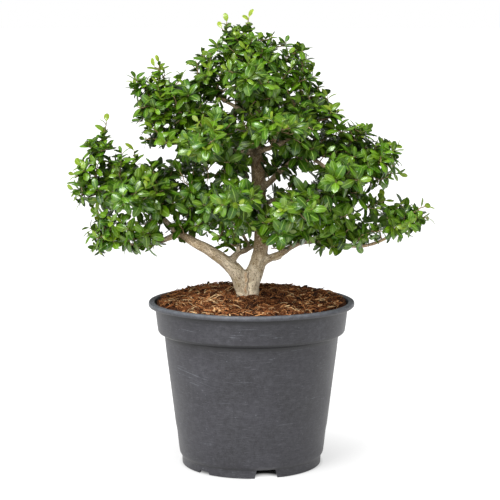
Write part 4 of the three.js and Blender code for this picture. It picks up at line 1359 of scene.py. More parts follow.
@dataclass
class Wood:
    """The trunk, its leg, roots and boughs: thick wood as one skin, thin wood as tubes."""

    voxel: float = 0.9
    softening: float = 0.5
    softenings: int = 5
    step: float = 2.5
    thick_sides: int = 20
    thin_sides: int = 12
    # radius under which wood is made as tubes, and how the one skin's last rings narrow there
    thin_from: float = 3.2
    overlap: int = 3
    narrowing: tuple = (0.8, 0.6, 0.35)
    soil_line: float = 180
    # twigs start above this height, from wood thinner than this radius
    leafy_above: float = 238
    leafy_under: float = 5.5
    trunk_heights: tuple = (180, 208, 226, 250, 450)
    trunk_ages: tuple = (0, 0.12, 0.5, 0.8, 1)
    # the bark's ridges, their stretch along the limb, the radius from which they are full, and
    # the least share of them
    ridges: tuple = ((0.55, 5.5, 3, 0), (0.22, 1.9, 2, 40))
    ridge_stretch: tuple = (0.35, 1, 1)
    full_ridges: float = 9
    least_ridges: float = 0.25
    # height, size and finer layers of the thin wood's unevenness
    uneven: tuple = (0.16, 6, 2)
    # distance between limbs in the bark's pattern
    pattern_gap: float = 400
    seam: Seam = Seam()
    routes: list = field(default_factory=list)

    def __post_init__(self) -> None:
        """Lays out each limb's smooth route and its bark's ages."""
        for limb in (TRUNK, LEG, *ROOTS, *STUBS, *BOUGHS, *BRANCHES):
            route = smooth_route(limb.stations, self.step)
            length = len(route) - 1
            ages = limb.base + (limb.tip - limb.base) * np.arange(length + 1) / length
            if limb is TRUNK:
                ages = np.interp(route[:, 2], self.trunk_heights, self.trunk_ages)
            self.routes.append((route, ages))

    def growth_points(self) -> tuple[Rows, Rows, Rows]:
        """Gives the places on the wood that twigs may start from.

        Returns:
            The places, the limbs' directions there and their radii.
        """
        rows = []
        for route, _ in self.routes:
            heading = unit(np.gradient(route[:, :3], axis=0))
            leafy = (route[:, 2] > self.leafy_above) & (route[:, 3] < self.leafy_under)
            rows.append(np.hstack([route, heading])[leafy])
        spots, radii, heads = np.split(np.concatenate(rows), (3, 4), axis=1)
        return spots, heads, radii[:, 0]

    def thick_count(self, route: Rows) -> int:
        """Counts the points of a route that are thick enough for the one skin."""
        return int(np.sum(route[:, 3] >= self.thin_from))

    def thick_parts(self) -> list[Rows]:
        """Cuts the routes where they get thin, and draws each cut end to a point.

        Returns:
            The thick parts, as rows of x, y, z and radius.
        """
        parts = []
        for route, _ in self.routes:
            count = self.thick_count(route)
            if count < 3:
                continue
            part = route[:count + self.overlap].copy()
            if len(part) < len(route):
                part[-3:, 3] *= self.narrowing
            parts.append(part)
        return parts

    def bark_places(self, points: Rows) -> tuple[Rows, Rows]:
        """Finds the straightened place and the bark's age at points near the limbs.

        Args:
            points: rows of x, y and z.

        Returns:
            The straightened places and the ages.
        """
        middle = np.concatenate([route for route, _ in self.routes])
        years = np.concatenate([ages for _, ages in self.routes])
        marks = np.concatenate([np.arange(len(route)) * self.step + order * self.pattern_gap
                                for order, (route, _) in enumerate(self.routes)])
        turns = np.concatenate([np.stack(limb_frames(route[None, :, :3]), axis=2)[0]
                                for route, _ in self.routes])
        tree = KDTree(len(middle))
        for index, row in enumerate(middle):
            tree.insert(Vector(row[:3]), index)
        tree.balance()
        nearest = np.empty(len(points), int)
        for index, row in enumerate(points):
            found = tree.find_n(Vector(row), 3)
            nearest[index] = found[np.argmin([far - middle[hit, 3] for _, hit, far in found])][1]
        local = np.einsum("nij,nj->ni", turns[nearest], points - middle[nearest, :3])
        local[:, 0] += marks[nearest]
        return local * MM, years[nearest]

    def trunk(self) -> bpy.types.Object:
        """Grows the thick wood together as one skin and roughens its bark.

        Returns:
            The thick wood.
        """
        skins = [single_tube(part, self.thick_sides) for part in self.thick_parts()]
        piece = new_object("trunk_wood", joined(skins))
        fuse = piece.modifiers.new("fuse", "REMESH")
        fuse.mode = "VOXEL"
        fuse.voxel_size = self.voxel * MM
        soften = piece.modifiers.new("soften", "SMOOTH")
        soften.factor = self.softening
        soften.iterations = self.softenings
        bake_modifiers(piece)
        points = mesh_points(piece)
        grain, ages = self.bark_places(points)
        radius = np.hypot(grain[:, 1], grain[:, 2]) / MM
        height = np.clip(radius / self.full_ridges, self.least_ridges, 1)
        ridges = layered(grain / MM * np.array(self.ridge_stretch), self.ridges)
        seam = self.seam.strength(points)
        swell = ridges * height - self.seam.depth * np.clip(seam, 0, 1)
        move_points(piece, points + mesh_normals(piece) * swell[:, None])
        for title, values in (("age", ages), ("grain", grain), ("seam", seam)):
            keep_values(piece.data, title, values)
        return piece

    def boughs(self) -> bpy.types.Object:
        """Makes the thin ends of the boughs as tubes with an uneven bark.

        Returns:
            The thin wood.
        """
        strength, size, detail = self.uneven
        skins = []
        for route, ages in self.routes:
            start = max(0, self.thick_count(route) - 1)
            part = route[start:].copy()
            if len(part) < 3 or part[-1, 2] < self.soil_line:
                continue
            part[:, 3] *= 1 + strength * lumps(part[:, :3], size, detail)
            skin = single_tube(part, self.thin_sides)
            years = np.repeat(ages[start:], self.thin_sides)
            skin.on_points["age"] = np.concatenate([years, ages[[start, -1]]])
            skins.append(skin)
        return new_object("bough_wood", joined(skins))

    def build(self, bark: bpy.types.Material) -> None:
        """Makes the wood from its bark's material."""
        fit_out(self.trunk(), bark, ["trunk_and_boughs"], RAGGED)
        fit_out(self.boughs(), bark, [], RAGGED)


# The crown: sprays, shoots and leaves

# Middle and half sizes of the sprays in each group of leaves
SPRAYS = {
    "left_low": ((-154, -12, 260, 23, 26, 24), (-125, -20, 259, 27, 27, 20)),
    "left_tip": ((-170, -10, 302, 25, 26, 20), (-138, 0, 319, 28, 30, 26),
        (-160, -8, 343, 18, 20, 22)),
    "left_mid": ((-107, -20, 307, 28, 30, 26), (-81, 0, 306, 30, 28, 30)),
    "left_inner": ((-50, -6, 288, 27, 28, 20), (-64, 2, 263, 25, 22, 15),
        (-31, -18, 325, 37, 24, 15), (-27, -20, 257, 20, 22, 12)),
    "centre_low": ((-9, -48, 282, 25, 30, 28), (22, -50, 270, 28, 28, 21)),
    "right_low": ((55, -28, 268, 28, 30, 21), (89, -14, 275, 28, 30, 26),
        (112, -8, 257, 25, 24, 15)),
    "right_tip": ((142, -2, 268, 27, 26, 16), (172, 0, 270, 22, 22, 13)),
    "right_mid": ((98, 4, 333, 28, 32, 28), (132, 2, 333, 29, 30, 28), (100, 4, 298, 34, 28, 15),
        (103, -4, 363, 27, 24, 13)),
    "right_inner": ((65, -20, 346, 25, 26, 19), (50, -14, 303, 28, 28, 13)),
    "centre_mid": ((11, -55, 372, 27, 28, 25), (47, -34, 371, 28, 30, 25),
        (76, -6, 375, 21, 26, 24), (30, 14, 330, 22, 24, 17)),
    "left_up": ((-107, 0, 400, 26, 28, 28), (-74, -9, 398, 30, 30, 29),
        (-76, -20, 357, 28, 26, 16), (-103, -4, 367, 24, 26, 18)),
    "left_up_inner": ((-39, -46, 374, 27, 30, 27), (-29, -40, 337, 19, 20, 12),
        (-60, 10, 415, 19, 20, 13)),
    "top": ((-39, -6, 433, 29, 28, 28), (-13, 0, 458, 25, 25, 22), (20, 2, 448, 28, 26, 23),
        (46, 0, 433, 23, 28, 27), (66, 0, 400, 18, 22, 20), (5, -48, 414, 29, 26, 19),
        (38, -12, 402, 25, 26, 14)),
    "back": ((-53, 105, 272, 32, 30, 18), (59, 108, 264, 35, 30, 18), (-18, 108, 347, 30, 28, 17),
        (46, 100, 375, 32, 30, 20), (-67, 92, 373, 27, 28, 20), (1, 62, 433, 31, 28, 24),
        (109, 82, 336, 27, 28, 20), (-128, 72, 300, 29, 28, 18)),
    "front": ((-20, -106, 304, 27, 30, 17), (50, -106, 294, 29, 30, 17),
        (33, -108, 378, 26, 28, 17), (-49, -100, 361, 27, 28, 16), (-6, -92, 428, 24, 24, 18),
        (96, -82, 324, 25, 28, 17), (-128, -78, 305, 27, 28, 17)),
}

# Smaller bunches between the sprays of a group, in the same numbers
BETWEEN = {
    "left_low": ((-164, -14, 238, 8, 12, 7),),
    "left_tip": ((-157, -12, 283, 21, 22, 12), (-178, -12, 325, 10, 16, 10),
        (-170, -10, 343, 11, 18, 12)),
    "left_mid": ((-70, 2, 327, 14, 18, 11), (-100, 4, 281, 14, 20, 8)),
    "left_up": ((-124, 0, 417, 12, 18, 10), (-119, 0, 374, 7, 12, 6)),
    "left_up_inner": ((-14, 4, 400, 17, 16, 9), (-17, 6, 381, 11, 14, 9)),
    "left_inner": ((-28, 10, 250, 12, 12, 8), (-110, -8, 243, 10, 12, 5),
        (-8, -6, 313, 8, 8, 6)),
    "right_mid": ((126, 0, 305, 10, 12, 8), (146, 0, 350, 8, 12, 7), (156, 0, 328, 8, 12, 8)),
    "right_low": ((84, -14, 240, 12, 14, 8), (108, -6, 274, 12, 14, 8), (125, -4, 283, 12, 12, 8)),
    "right_inner": ((20, 12, 297, 9, 10, 9),),
    "right_tip": ((158, 0, 281, 17, 12, 8),),
    "centre_mid": ((90, -4, 388, 9, 14, 9), (3, -18, 392, 18, 10, 15), (2, -16, 362, 14, 8, 12)),
    "top": ((66, 0, 427, 10, 16, 12), (52, 0, 456, 10, 12, 8), (-38, 0, 457, 14, 12, 8),
        (21, 0, 465, 17, 12, 7)),
    "back": ((-20, 58, 276, 20, 18, 12), (34, 66, 260, 20, 18, 11), (-2, 62, 346, 20, 20, 13),
        (26, 60, 380, 20, 18, 13), (-36, 56, 374, 18, 18, 13), (92, 50, 342, 18, 16, 12),
        (-110, 46, 296, 18, 16, 12), (-70, 62, 318, 18, 18, 13), (70, 60, 300, 18, 18, 13)),
    "front": ((-4, -78, 310, 12, 12, 9), (44, -74, 286, 14, 12, 10), (84, -54, 330, 14, 12, 10),
        (-112, -50, 304, 14, 12, 10), (-2, -66, 424, 12, 12, 9), (-44, -76, 364, 12, 12, 9)),
}

# Groups that lie well behind or before the trunk
DEEP_GROUPS = ("back", "front")

# Shoots that stand out of the crown: the tip's x, y and z, and which way it points, x and z
STRAYS = (
    (-155, -8, 384, 0.1, 1), (-101, 2, 447, -0.15, 1), (-132, 0, 423, -0.7, 0.7),
    (-90, 0, 434, 0.4, 1), (-37, -4, 482, -0.6, 0.8), (-28, -4, 490, -0.2, 1),
    (-2, 2, 495, 0.1, 1), (54, 0, 459, 0.6, 0.8), (68, -2, 436, 0.8, 0.5),
    (84, -4, 410, 0.3, 1), (97, -4, 394, 0.6, 0.8), (116, 0, 366, 0.4, 0.9),
    (150, 0, 356, 0.7, 0.7), (165, 0, 350, 1, 0.2), (168, 4, 316, 1, -0.3),
    (143, -2, 301, 0.3, 1), (152, -2, 293, 0.9, 0.4), (198, 0, 286, 1, 0.3),
    (200, 0, 268, 1, -0.3), (172, -4, 248, 0.5, -0.8), (-200, -12, 303, -1, 0),
    (-190, -6, 334, -0.7, 0.6), (-172, -10, 354, -0.5, 0.8), (-128, 4, 352, -0.1, 1),
    (-168, -14, 232, -0.4, -0.8), (-182, -16, 254, -1, -0.2), (-102, -20, 240, 0.1, -1),
    (92, -16, 232, 0.3, -1), (78, -14, 238, 0, -1),
    (-14, 142, 354, 0, 1), (30, -140, 386, 0, 1), (160, 0, 292, 0.2, 1), (128, 0, 318, 0.2, -1),
    (-96, 0, 344, 0.2, -1), (-44, 4, 262, -0.6, 0.2), (-109, 2, 441, -0.6, 0.8),
    (-149, -8, 374, 0.6, 0.7), (-199, -8, 321, -0.9, 0.3), (101, -8, 235, 0.2, -1),
    (113, -6, 235, 0.1, -1),
    # little leaves on the thin twigs over the fork
    (-40, 6, 250, -0.4, 0.9), (-27, 8, 251, -0.1, 1), (-21, 8, 245, 0.5, 0.5),
    (-9, 14, 242, 0.3, 0.9), (-28, 6, 236, -0.5, -0.8), (-26, 6, 229, -0.1, -1),
    (-16, 12, 236, 0.2, -0.6), (-4, 10, 247, -0.2, 1), (24, -4, 247, 0.3, 1),
)


@dataclass(frozen=True)
class Clearing:
    """An upright oval, seen from the front, that leaves stay out of.

    Leaves in front of the depth called back_to stay out of it, and those behind may grow.
    """

    x: float
    z: float
    half_x: float
    half_z: float
    back_to: float = 400

    def holds(self, points: Rows) -> Rows:
        """Tells which points lie in it.

        Args:
            points: rows of x, y and z.

        Returns:
            True for each point inside.
        """
        sight_drop = 0.142
        sight_spread = 1834.0
        flat_x = points[:, 0] * (1 - points[:, 1] / sight_spread)
        flat_z = points[:, 2] + sight_drop * points[:, 1]
        inside = ((flat_x - self.x) / self.half_x) ** 2 + ((flat_z - self.z) / self.half_z) ** 2
        return (inside < 1) & (points[:, 1] < self.back_to)


CLEARINGS = tuple(Clearing(*row) for row in (
    (-24, 393, 8, 4), (-143, 368, 9, 18), (-94, 341, 14, 5.5), (-67, 321, 4, 2.5),
    (-75, 312.5, 5.5, 4), (-40, 325, 8, 5), (-90, 271, 6, 3), (60, 315, 9, 6), (76, 331, 7, 7.5),
    (36, 306, 6.5, 7), (47, 301, 6, 4), (20, 314, 5, 4), (150, 238, 9, 6), (108, 232, 10, 7),
    (-64, 427, 8, 4), (-36, 473, 5, 6), (-41, 243, 9, 4), (-9, 225, 9, 13), (-132, 395, 6, 9),
    (-74, 447, 12, 5),
    # the trunk shows through these
    (7, 318, 7, 15, 8), (9, 235, 11, 8, 40),
    # and so does the bough that crosses it
    (12, 343, 9, 3.5, -8), (27, 348.5, 10, 4, -22), (40, 354, 9, 4, -29)))
# Leaves in here are small
LITTLE_LEAVES = Clearing(-30, 246, 38, 22)
LITTLE_SHARE = 0.65


@dataclass(frozen=True)
class LeafCut:
    """The form that leaves share, before each gets its own size and bend."""

    # shares of the length with shares of the half width there, and places across it
    stations: tuple
    columns: tuple
    thickness: float = 0.3
    groove: float = 0.22
    ripple: tuple = (-0.02, 0.035)
    # the cross section's rise from the midrib and fall to the edge
    rise: float = 0.62
    fall: float = 0.42
    drooping: float = 0.8
    shortening: float = 0.35
    shift: float = 0.2

    def pattern(self) -> tuple[Rows, list[Rows], Rows]:
        """Lays out one leaf.

        Returns:
            Rows of place along, place across, half width share and depth for each point; the
            faces; and for each face whether it lies underneath.
        """
        rows = []
        for order, (along, wide) in enumerate(self.stations):
            edge = 1 + self.ripple[order % 2] * (order > 1)
            rows += [(along, across * edge, wide, 0.0) for across in self.columns]
            rows.append((along, 0.0, wide, 1.0))
        rows.append((1.0, 0.0, 0.0, 0.0))
        top = len(self.columns)
        width = top + 1
        last = (len(self.stations) - 1) * width
        tip = last + width
        quads = []
        triangles = []
        under_quads = []
        for here in range(0, last, width):
            there = here + width
            quads += [(here + column, there + column, there + column + 1, here + column + 1)
                      for column in range(top - 1)]
            under_quads += [(here, here + top, there + top, there),
                            (here + top, here + top - 1, there + top - 1, there + top)]
        for column in range(top - 1):
            triangles += [(last + column, tip, last + column + 1), (column, column + 1, top)]
        under_triangles = [(last, last + top, tip), (last + top, last + top - 1, tip)]
        faces = [np.array(part) for part in (quads, under_quads, triangles, under_triangles)]
        below = np.repeat([0.0, 1.0, 0.0, 1.0], [len(part) for part in faces])
        return np.array(rows), faces, below


FULL_CUT = LeafCut(((0.0, 0.09), (0.08, 0.13), (0.23, 0.6), (0.42, 0.92), (0.62, 1.0),
                    (0.81, 0.8), (0.94, 0.42)), (-1.0, -0.5, 0.0, 0.5, 1.0))
PLAIN_CUT = LeafCut(((0.0, 0.09), (0.09, 0.14), (0.28, 0.7), (0.52, 1.0), (0.76, 0.88),
                     (0.93, 0.44)), (-1.0, 0.0, 1.0))


@dataclass
class Leaves:
    """All the leaves' own values, one row for each leaf."""

    base: Rows
    heading: Rows
    facing: Rows
    length: Rows
    width: Rows
    bend: Rows
    droop: Rows
    twist: Rows
    tone: Rows
    youth: Rows
    group: Rows
    outer: Rows

    def chosen(self, keep: Rows) -> "Leaves":
        """Keeps some of the leaves."""
        return Leaves(**{name: getattr(self, name)[keep] for name in self.__dataclass_fields__})

    def points(self, share: float) -> Rows:
        """Gives a point on each leaf's middle line, at a share of its length."""
        bow = self.facing * (self.length * self.bend * share ** 2)[:, None]
        return self.base + self.heading * (self.length * share)[:, None] - bow

    def skin(self, cut: LeafCut) -> Skin:
        """Makes the leaves' skin.

        Args:
            cut: the form they share.

        Returns:
            One skin with the values that the leaf's material reads.
        """
        rows, faces, below = cut.pattern()
        along, across, wide, under = rows.T
        count = len(self.length)
        length = self.length[:, None]
        bend = self.bend[:, None]
        half = self.width[:, None] / 2 * wide
        turn = self.twist[:, None] * along
        ahead = length * (along - cut.shortening * bend ** 2 * along ** 3)
        fall = cut.fall + cut.drooping * self.droop[:, None]
        fold = half * (cut.rise * np.abs(across) - fall * across ** 2)
        crease = np.where(across == 0, -cut.groove, 0.0) * wide
        depth = -cut.thickness * under * (0.4 + 0.6 * wide)
        rise = -length * bend * along ** 2 + fold + crease + depth
        reach = half * across
        sideways = reach * np.cos(turn) - rise * np.sin(turn) * cut.shift
        upward = rise + reach * np.sin(turn)
        side = unit(np.cross(self.heading, self.facing))
        points = (self.base[:, None] + self.heading[:, None] * ahead[:, :, None]
                  + side[:, None] * sideways[:, :, None]
                  + self.facing[:, None] * upward[:, :, None])
        starts = (np.arange(count) * len(rows))[:, None, None]
        placed = [(part[None] + starts).reshape(-1, part.shape[1]) for part in faces]
        sizes = [len(part) for part in faces]
        tone, youth = (np.concatenate([np.repeat(values, size) for size in sizes])
                       for values in (self.tone, self.youth))
        sides = np.concatenate([np.tile(part, count)
                                for part in np.split(below, np.cumsum(sizes)[:-1])])
        blade = np.stack([np.tile(across, count), np.tile(along, count),
                          np.repeat(self.tone, len(rows))], axis=1)
        return Skin(points.reshape(-1, 3), placed, {"blade": blade},
                    {"tone": tone, "youth": youth, "below": sides})


@dataclass(frozen=True)
class Habit:
    """How the leaves sit on a kind of shoot."""

    counts: tuple
    gaps: tuple
    # how much further the lowest leaf opens than the topmost, in degrees
    opening: float
    bud: float
    # size of all its leaves, or nothing where the place in the crown sets it
    size: float = 0.0
    youth: float = 0.0
    # how far its leaves turn to the viewer
    turned: tuple = (0.0, 0.0, 0.0)


CROWDED = Habit((7, 10), (1.5, 2.4), 58, 0.52)
LONE = Habit((5, 8), (3.2, 4.4), 46, 0.8, 0.78, 0.5, (0.0, -0.7, 0.0))


@dataclass
class Shoots:
    """The shoots: tips, ways they point, groups, nearness to the surface, and which stand out."""

    tips: Rows
    axes: Rows
    groups: Rows
    shells: Rows
    lone: Rows

    def and_also(self, others: "Shoots") -> "Shoots":
        """Adds other shoots after these."""
        return Shoots(*(np.concatenate([getattr(self, name), getattr(others, name)])
                        for name in self.__dataclass_fields__))


@dataclass
class Footings:
    """The places that twigs may start from: on the wood, and then on the twigs there are too."""

    spots: Rows
    heads: Rows
    limits: Rows
    too_near: float = 9
    twig_radius: float = 0.9
    # what a place costs: less straight ahead, more for a turn and for a long way to the wood
    base_cost: float = 1.25
    ahead_gain: float = 0.45
    turn_cost: float = 0.3
    lone_turn_cost: float = 1.2
    way_cost: float = 0.12

    def __post_init__(self) -> None:
        """Starts the ways back to the wood, and the numbers of the twigs that own the places."""
        self.way = np.zeros(len(self.spots))
        self.owner = np.full(len(self.spots), -1)

    def best(self, tip: Rows, axis: Rows, lone: bool) -> tuple[int, float]:
        """Picks the place from which a twig reaches a tip best.

        Args:
            tip: the twig's tip.
            axis: the way that the tip points.
            lone: whether the shoot stands out of the crown.

        Returns:
            The number of the place and its distance from the tip.
        """
        gap = tip - self.spots
        far = np.linalg.norm(gap, axis=1) + 1e-6
        ahead = np.sum(gap * self.heads, axis=1) / far
        tipward = gap @ axis / far
        turn_cost = self.lone_turn_cost if lone else self.turn_cost
        score = far * (self.base_cost - self.ahead_gain * ahead
                       + turn_cost * (1 - tipward)) + self.way_cost * self.way
        score[far < self.too_near] = 1e6
        number = int(np.argmin(score))
        return number, far[number]

    def add(self, path: Rows, way: float, owner: int) -> None:
        """Adds the inner points of a new twig.

        Args:
            path: the twig's points.
            way: length of the way back to the wood.
            owner: the twig's number.
        """
        inner = slice(1, len(path) - 2)
        added = len(path) - 3
        self.spots = np.vstack([self.spots, path[inner]])
        self.heads = np.vstack([self.heads, unit(np.gradient(path, axis=0))[inner]])
        self.limits = np.concatenate([self.limits, np.full(added, self.twig_radius)])
        self.way = np.concatenate([self.way, np.full(added, way)])
        self.owner = np.concatenate([self.owner, np.full(added, owner)])


@dataclass
class Crown:
    """The leafy crown: shoots in and round the sprays, their stems and their leaves."""

    spacing: float = 13.3
    deepening: float = 1.3
    # tries for a shoot in each cubic millimetre of a spray
    tries: float = 0.0024
    heart: tuple = (0, 0, 315)
    leaf_reach: float = 8.5
    stem_points: int = 8
    stem_sides: int = 4
    tip_radius: float = 0.5
    stem_radius: float = 0.7
    load_radius: float = 0.2
    light: tuple = (0.05, -0.2, 0.97)
    # half sizes of the crown: for youth, seen from the front, and for the painted light that makes
    # the outer leaves' tone lighter
    extent: tuple = (170, 125, 150)
    outline: tuple = (190, 170)
    sunlit: tuple = (170, 190, 150)
    # leaf sizes after the bud, from the tip down, and from the crown's middle to its outline
    size_places: tuple = (0, 0.25, 0.6, 1)
    sizes: tuple = (0.84, 1, 0.96)
    flanks: tuple = ((0.6, 1.0), (1.0, 0.86))
    leaf_length: float = 17.6
    leaf_widths: tuple = (0.43, 0.55)
    bends: tuple = (0.2, 0.62)
    droops: tuple = (0.15, 0.6)
    closed: float = 20
    outer_from: float = 0.72
    leaf_sharp_over: float = 70

    def __post_init__(self) -> None:
        """Starts the random numbers."""
        self.draws = np.random.default_rng(SEED + 1)
        self.sun = unit(np.array(self.light))

    def crowd(self) -> Shoots:
        """Picks the shoots in the sprays.

        Returns:
            The shoots.
        """
        tips = np.empty((0, 3))
        rows = []
        heart = np.array(self.heart)
        for order, name in enumerate(SPRAYS):
            for spray in (*SPRAYS[name], *BETWEEN.get(name, ())):
                middle = np.array(spray[:3], float)
                half = np.array(spray[3:], float)
                if name not in DEEP_GROUPS:
                    half[1] *= self.deepening
                count = int(self.tries * 4.19 * np.prod(half))
                heads = unit(self.draws.normal(0, 1, (count, 3)))
                share = self.draws.uniform(0.05, 1, count) ** (1 / 3)
                for head, reach in zip(heads, share):
                    spot = middle + head * half * reach * 0.92
                    if len(tips) and np.min(np.linalg.norm(tips - spot, axis=1)) < self.spacing:
                        continue
                    if any(place.holds(spot[None])[0] for place in CLEARINGS):
                        continue
                    tips = np.vstack([tips, spot])
                    lean = (unit(spot - heart) * 0.6 + unit(head / half) * (0.3 + 0.7 * reach)
                            + UP * 0.55 + self.draws.normal(0, 0.25, 3))
                    rows.append((unit(lean), order, reach, False))
        return Shoots(tips, *(np.array(column) for column in zip(*rows)))

    def strays(self, crowd: Shoots) -> Shoots:
        """Lays out the shoots that stand out, each in the group of the nearest other shoot.

        Args:
            crowd: the shoots in the sprays.

        Returns:
            The stray shoots.
        """
        rows = np.array(STRAYS, float)
        axes = unit(np.stack([rows[:, 3], np.zeros(len(rows)), rows[:, 4]], axis=1))
        spots = rows[:, :3] - self.leaf_reach * axes
        nearest = [int(np.argmin(np.linalg.norm(crowd.tips - spot, axis=1))) for spot in spots]
        return Shoots(spots, axes, crowd.groups[nearest], np.ones(len(rows)),
                      np.ones(len(rows), bool))

    def stems(self, shoots: Shoots, wood: Wood) -> tuple[Rows, Rows]:
        """Joins each shoot to the nearest wood or to a stem that is there already.

        Args:
            shoots: the shoots.
            wood: the wood they grow on.

        Returns:
            The stems' centres and radii.
        """
        footings = Footings(*wood.growth_points())
        order = np.argsort([np.min(np.linalg.norm(footings.spots - tip, axis=1))
                            for tip in shoots.tips])
        share = np.linspace(0, 1, self.stem_points)[:, None]
        from_start, from_leave, from_end, from_arrive = curve_weights(share)
        centres = np.empty((len(order), self.stem_points, 3))
        parent = np.full(len(order), -1)
        limit = np.empty(len(order))
        for number in order:
            tip = shoots.tips[number]
            axis = shoots.axes[number]
            best, length = footings.best(tip, axis, shoots.lone[number])
            start = footings.spots[best]
            leave = unit((tip - start) / length + 0.5 * footings.heads[best]) * length * 0.9
            path = (from_start * start + from_leave * leave + from_end * tip
                    + from_arrive * (axis * length * 0.8))
            wiggle = self.draws.normal(0, 0.022 * length, (self.stem_points, 3))
            path += wiggle * np.sin(np.pi * share)
            centres[number] = path
            parent[number] = footings.owner[best]
            limit[number] = footings.limits[best]
            footings.add(path, footings.way[best] + length, number)
        load = np.ones(len(order))
        for number in order[::-1]:
            if parent[number] >= 0:
                load[parent[number]] += load[number]
        thick = np.minimum(self.stem_radius + self.load_radius * np.sqrt(load), limit * 0.9)
        for number in order:
            if parent[number] >= 0:
                thick[number] = min(thick[number], thick[parent[number]] * 0.92)
        taper = np.linspace(0, 1, self.stem_points)[None] ** 0.7
        return centres, thick[:, None] * (1 - taper) + self.tip_radius * taper

    def leaves(self, centres: Rows, shoots: Shoots) -> Leaves:
        """Sets the leaves round the ends of the stems.

        Args:
            centres: the stems' centres.
            shoots: the shoots.

        Returns:
            The leaves.
        """
        rows = [row for number, stem in enumerate(centres)
                for row in self.spiral(stem, shoots, number)]
        made = Leaves(*(np.array(column) for column in zip(*rows)))
        keep = np.ones(len(made.length), bool)
        for place in CLEARINGS:
            keep &= ~(place.holds(made.points(0.5)) | place.holds(made.points(0.8)))
        return made.chosen(keep)

    def spiral(self, stem: Rows, shoots: Shoots, number: int) -> list[tuple]:
        """Sets the leaves of one shoot, in a spiral from its tip down.

        Args:
            stem: the stem's centres.
            shoots: the shoots.
            number: the shoot's number.

        Returns:
            A row for each leaf, in the order of the fields of Leaves.
        """
        draws = self.draws
        axis = shoots.axes[number]
        shell = shoots.shells[number]
        habit = LONE if shoots.lone[number] else CROWDED
        back = stem[::-1]
        marks = np.concatenate([[0], np.cumsum(np.linalg.norm(np.diff(back, axis=0), axis=1))])
        count = int(draws.integers(*habit.counts))
        gap = draws.uniform(*habit.gaps)
        vigour = draws.uniform(0.88, 1.12)
        fresh = draws.uniform(0, 1) ** 2
        turn = draws.uniform(0, TURN)
        side = unit(np.cross(axis, UP if abs(axis[2]) < UPRIGHT else ACROSS))
        other = np.cross(axis, side)
        out = stem[-1] - np.array(self.heart)
        outer = np.clip(np.linalg.norm(out / np.array(self.extent)), 0, 1.3)
        sunny = min(1.0, np.linalg.norm(out / np.array(self.sunlit)))
        flank = math.hypot(*(out[[0, 2]] / np.array(self.outline)))
        shrink = habit.size or np.interp(flank, *self.flanks)
        if LITTLE_LEAVES.holds(stem[-1:])[0]:
            shrink = LITTLE_SHARE
        rows = []
        for place in range(count):
            distance = min(place * gap + draws.uniform(-0.4, 0.4), marks[-1] * 0.85)
            distance = max(distance, 0.0)
            base = np.array([np.interp(distance, marks, back[:, part]) for part in range(3)])
            turn += GOLDEN_TURN + draws.normal(0, 0.16)
            radial = side * math.cos(turn) + other * math.sin(turn)
            ripe = place / (count - 1)
            opening = math.radians(self.closed + habit.opening * ripe ** 0.75
                                   + draws.normal(0, 10))
            heading = axis * math.cos(opening) + radial * math.sin(opening)
            heading = unit(heading + UP * 0.12 + draws.normal(0, 0.07, 3))
            facing = axis * math.sin(opening) - radial * math.cos(opening)
            facing = facing + self.sun * draws.uniform(0.1, 0.5) + draws.normal(0, 0.14, 3)
            facing = facing + habit.turned
            facing = unit(facing - heading * (facing @ heading))
            size = np.interp(ripe, self.size_places, (habit.bud, *self.sizes))
            length = self.leaf_length * size * vigour * shrink * draws.uniform(0.84, 1.14)
            youth = max(0.0, 0.8 - 2.0 * ripe) * fresh * (0.2 + 0.8 * min(outer, 1))
            youth = min(1.0, youth + habit.youth * (1 - ripe))
            # the tone is lighter towards the crown's outside: partly the leaves' age, partly
            # painted light and shade
            tone = np.clip(0.2 + 0.42 * shell * sunny + draws.normal(0, 0.26)
                           + 0.15 * (1 - ripe), 0, 1)
            rows.append((base, heading, facing, length, length * draws.uniform(*self.leaf_widths),
                         draws.uniform(*self.bends), draws.uniform(*self.droops),
                         draws.normal(0, 0.16), tone, youth, shoots.groups[number],
                         outer * (0.55 + 0.45 * shell) > self.outer_from))
        return rows

    def build(self, wood: Wood, bark: bpy.types.Material) -> None:
        """Makes the twigs and the leaves.

        Args:
            wood: the wood they grow on.
            bark: the bark's material.
        """
        crowd = self.crowd()
        shoots = crowd.and_also(self.strays(crowd))
        centres, radii = self.stems(shoots, wood)
        twigs = tube_bundle(centres, radii, self.stem_sides)
        years = np.linspace(0, 1, self.stem_points) ** 3
        years = Age.TWIG.value + (Age.SHOOT.value - Age.TWIG.value) * years
        ring = np.concatenate([np.repeat(years, self.stem_sides), years[[0, -1]]])
        twigs.on_points["age"] = np.tile(ring, len(centres))
        fit_out(new_object("twig_wood", twigs), bark, [], RAGGED)
        leaves = self.leaves(centres, shoots)
        LOG.info("%d shoots with %d leaves", len(centres), len(leaves.length))
        finish = LeafFinish().build()
        for order, name in enumerate(SPRAYS):
            part = leaves.chosen(leaves.group == order)
            skins = [part.chosen(part.outer == full).skin(cut)
                     for full, cut in ((True, FULL_CUT), (False, PLAIN_CUT))]
            nodes = [f"spray_{name}_{number + 1}" for number in range(len(SPRAYS[name]))]
            fit_out(new_object(f"leaves_{name}", joined(skins)), finish, nodes,
                    self.leaf_sharp_over)


# The studio


